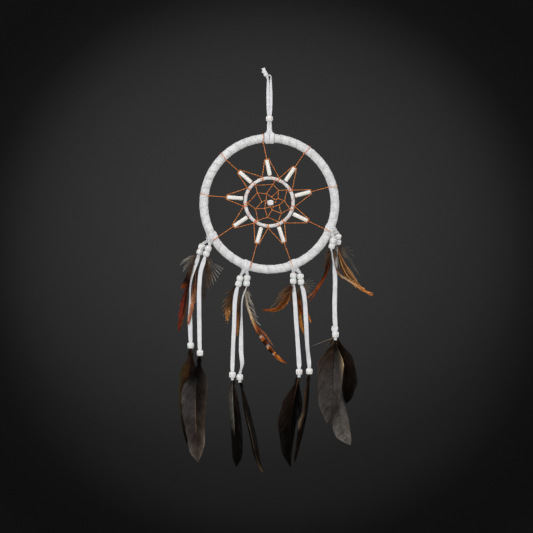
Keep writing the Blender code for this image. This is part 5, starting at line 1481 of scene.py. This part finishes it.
             (0.2, (110, 76, 48), (80, 54, 36), (80, 54, 36), (110, 80, 54)),
             (0.4, (150, 100, 56), (90, 58, 32), (84, 54, 30), (140, 98, 58)),
             (0.6, (190, 130, 70), (130, 84, 42), (120, 76, 38), (176, 122, 68)),
             (0.8, (220, 160, 92), (190, 128, 66), (170, 110, 54), (196, 138, 80)),
             (1, (214, 138, 70), (206, 130, 64), (200, 124, 60), (190, 120, 60))),
            ((0, (130, 106, 82)), (0.5, (214, 162, 102)), (1, (224, 160, 92))), 96, reach=0.36, hold=0.3,
            stray=0.8, splits=9, uneven=0.12, camber=0.3, vary=0.6),
        layer(curved_vane,
            ((77.6, -2.4, -194.9, 0.3, 0.3), (73.8, -2.8, -212, 0.7, 0.7), (79.4, -2.9, -226.6, 0.9, 0.9),
             (89.4, -2.8, -233.6, 1.0, 1.0), (104, -2.4, -243.6, 0.2, 0.2)),
            ((0, (96, 70, 50)), (0.4, (150, 96, 50)), (0.7, (206, 170, 136)), (1, (214, 160, 106))),
            ((0, (120, 90, 62)), (0.4, (200, 130, 66)), (0.7, (214, 184, 154)), (1, (214, 160, 106))), 60,
            reach=0.3, hold=0.5, stray=0.3, splits=3, uneven=0.1, vary=0.3),
        *(layer(loose_barb, [(x, -2.1, z) for x, z in course], ((140, 90, 50), (232, 176, 112)), 0.3)
          for course in LONG_BARBS),
        layer(hairs, (78.8, -1.2, -196.5), ((89, 0, -202), (90, 0, -208), (87, 0, -214), (84, 0, -200)), 80,
            GREY_DOWN + BROWN_DOWN, 1.4, 0.12, 1.6, 1.4),
        layer(spikes, (79.4, -1.4, -198),
            ((95.6, -200.6), (97.4, -206.6), (95, -211), (92.4, -196.6), (98, -217.6), (100.6, -224),
             (103, -228.6)), ((90, 74, 60), (170, 156, 140)), 0.17, 1.4),
        layer(hairs, (76, -2.0, -200), ((76, -2, -214), (79, -2, -220), (73, -1, -210)), 60,
            (((110, 98, 86), (170, 156, 140)), ((80, 66, 54), (130, 112, 94))), 1.4, 0.14, 1.2, 1.4),
    ),
}


def make_hackles():
    for name, layers in HACKLES.items():
        shape = Shape()
        for add in layers:
            add(shape, STRANDS[name]["y"])
        piece = shape.build(name + "_hackles", FEATHER, name + "_strand", True)
        if name + "_hackle" in frame["nodes"]:
            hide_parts(name + "_hackle")


def make_stray_barb():
    """The single barb that stands out to the left under the right-hand front bead."""
    shape = Shape()
    x, z = STRANDS["right_a"]["low"]
    course = ((x - 1.0, -4.6, z - 3.6), (64.0, -5.6, -303.0), (54.0, -6.2, -307.0), (46.5, -6.4, -309.4))
    loose_barb(shape, 0, course, ((150, 126, 98), (120, 112, 104)), 0.26)
    shape.build("right_a_stray_barb", FEATHER, "right_a_feather")


for feather, data in FEATHERS.items():
    big_feather(feather, **data)
make_hackles()
make_stray_barb()

# ---------------------------------------------------------------- floor

FLOOR_BELOW = 0.27
disc = bmesh.new()
bmesh.ops.create_circle(disc, cap_ends=True, segments=96, radius=1.2)
floor_mesh = bpy.data.meshes.new("floor")
disc.to_mesh(floor_mesh)
disc.free()
floor = bpy.data.objects.new("floor", floor_mesh)
floor.location.z = CAD_BOX[0][2] - FLOOR_BELOW
floor.data.materials.append(floor_finish())
bpy.context.scene.collection.objects.link(floor)
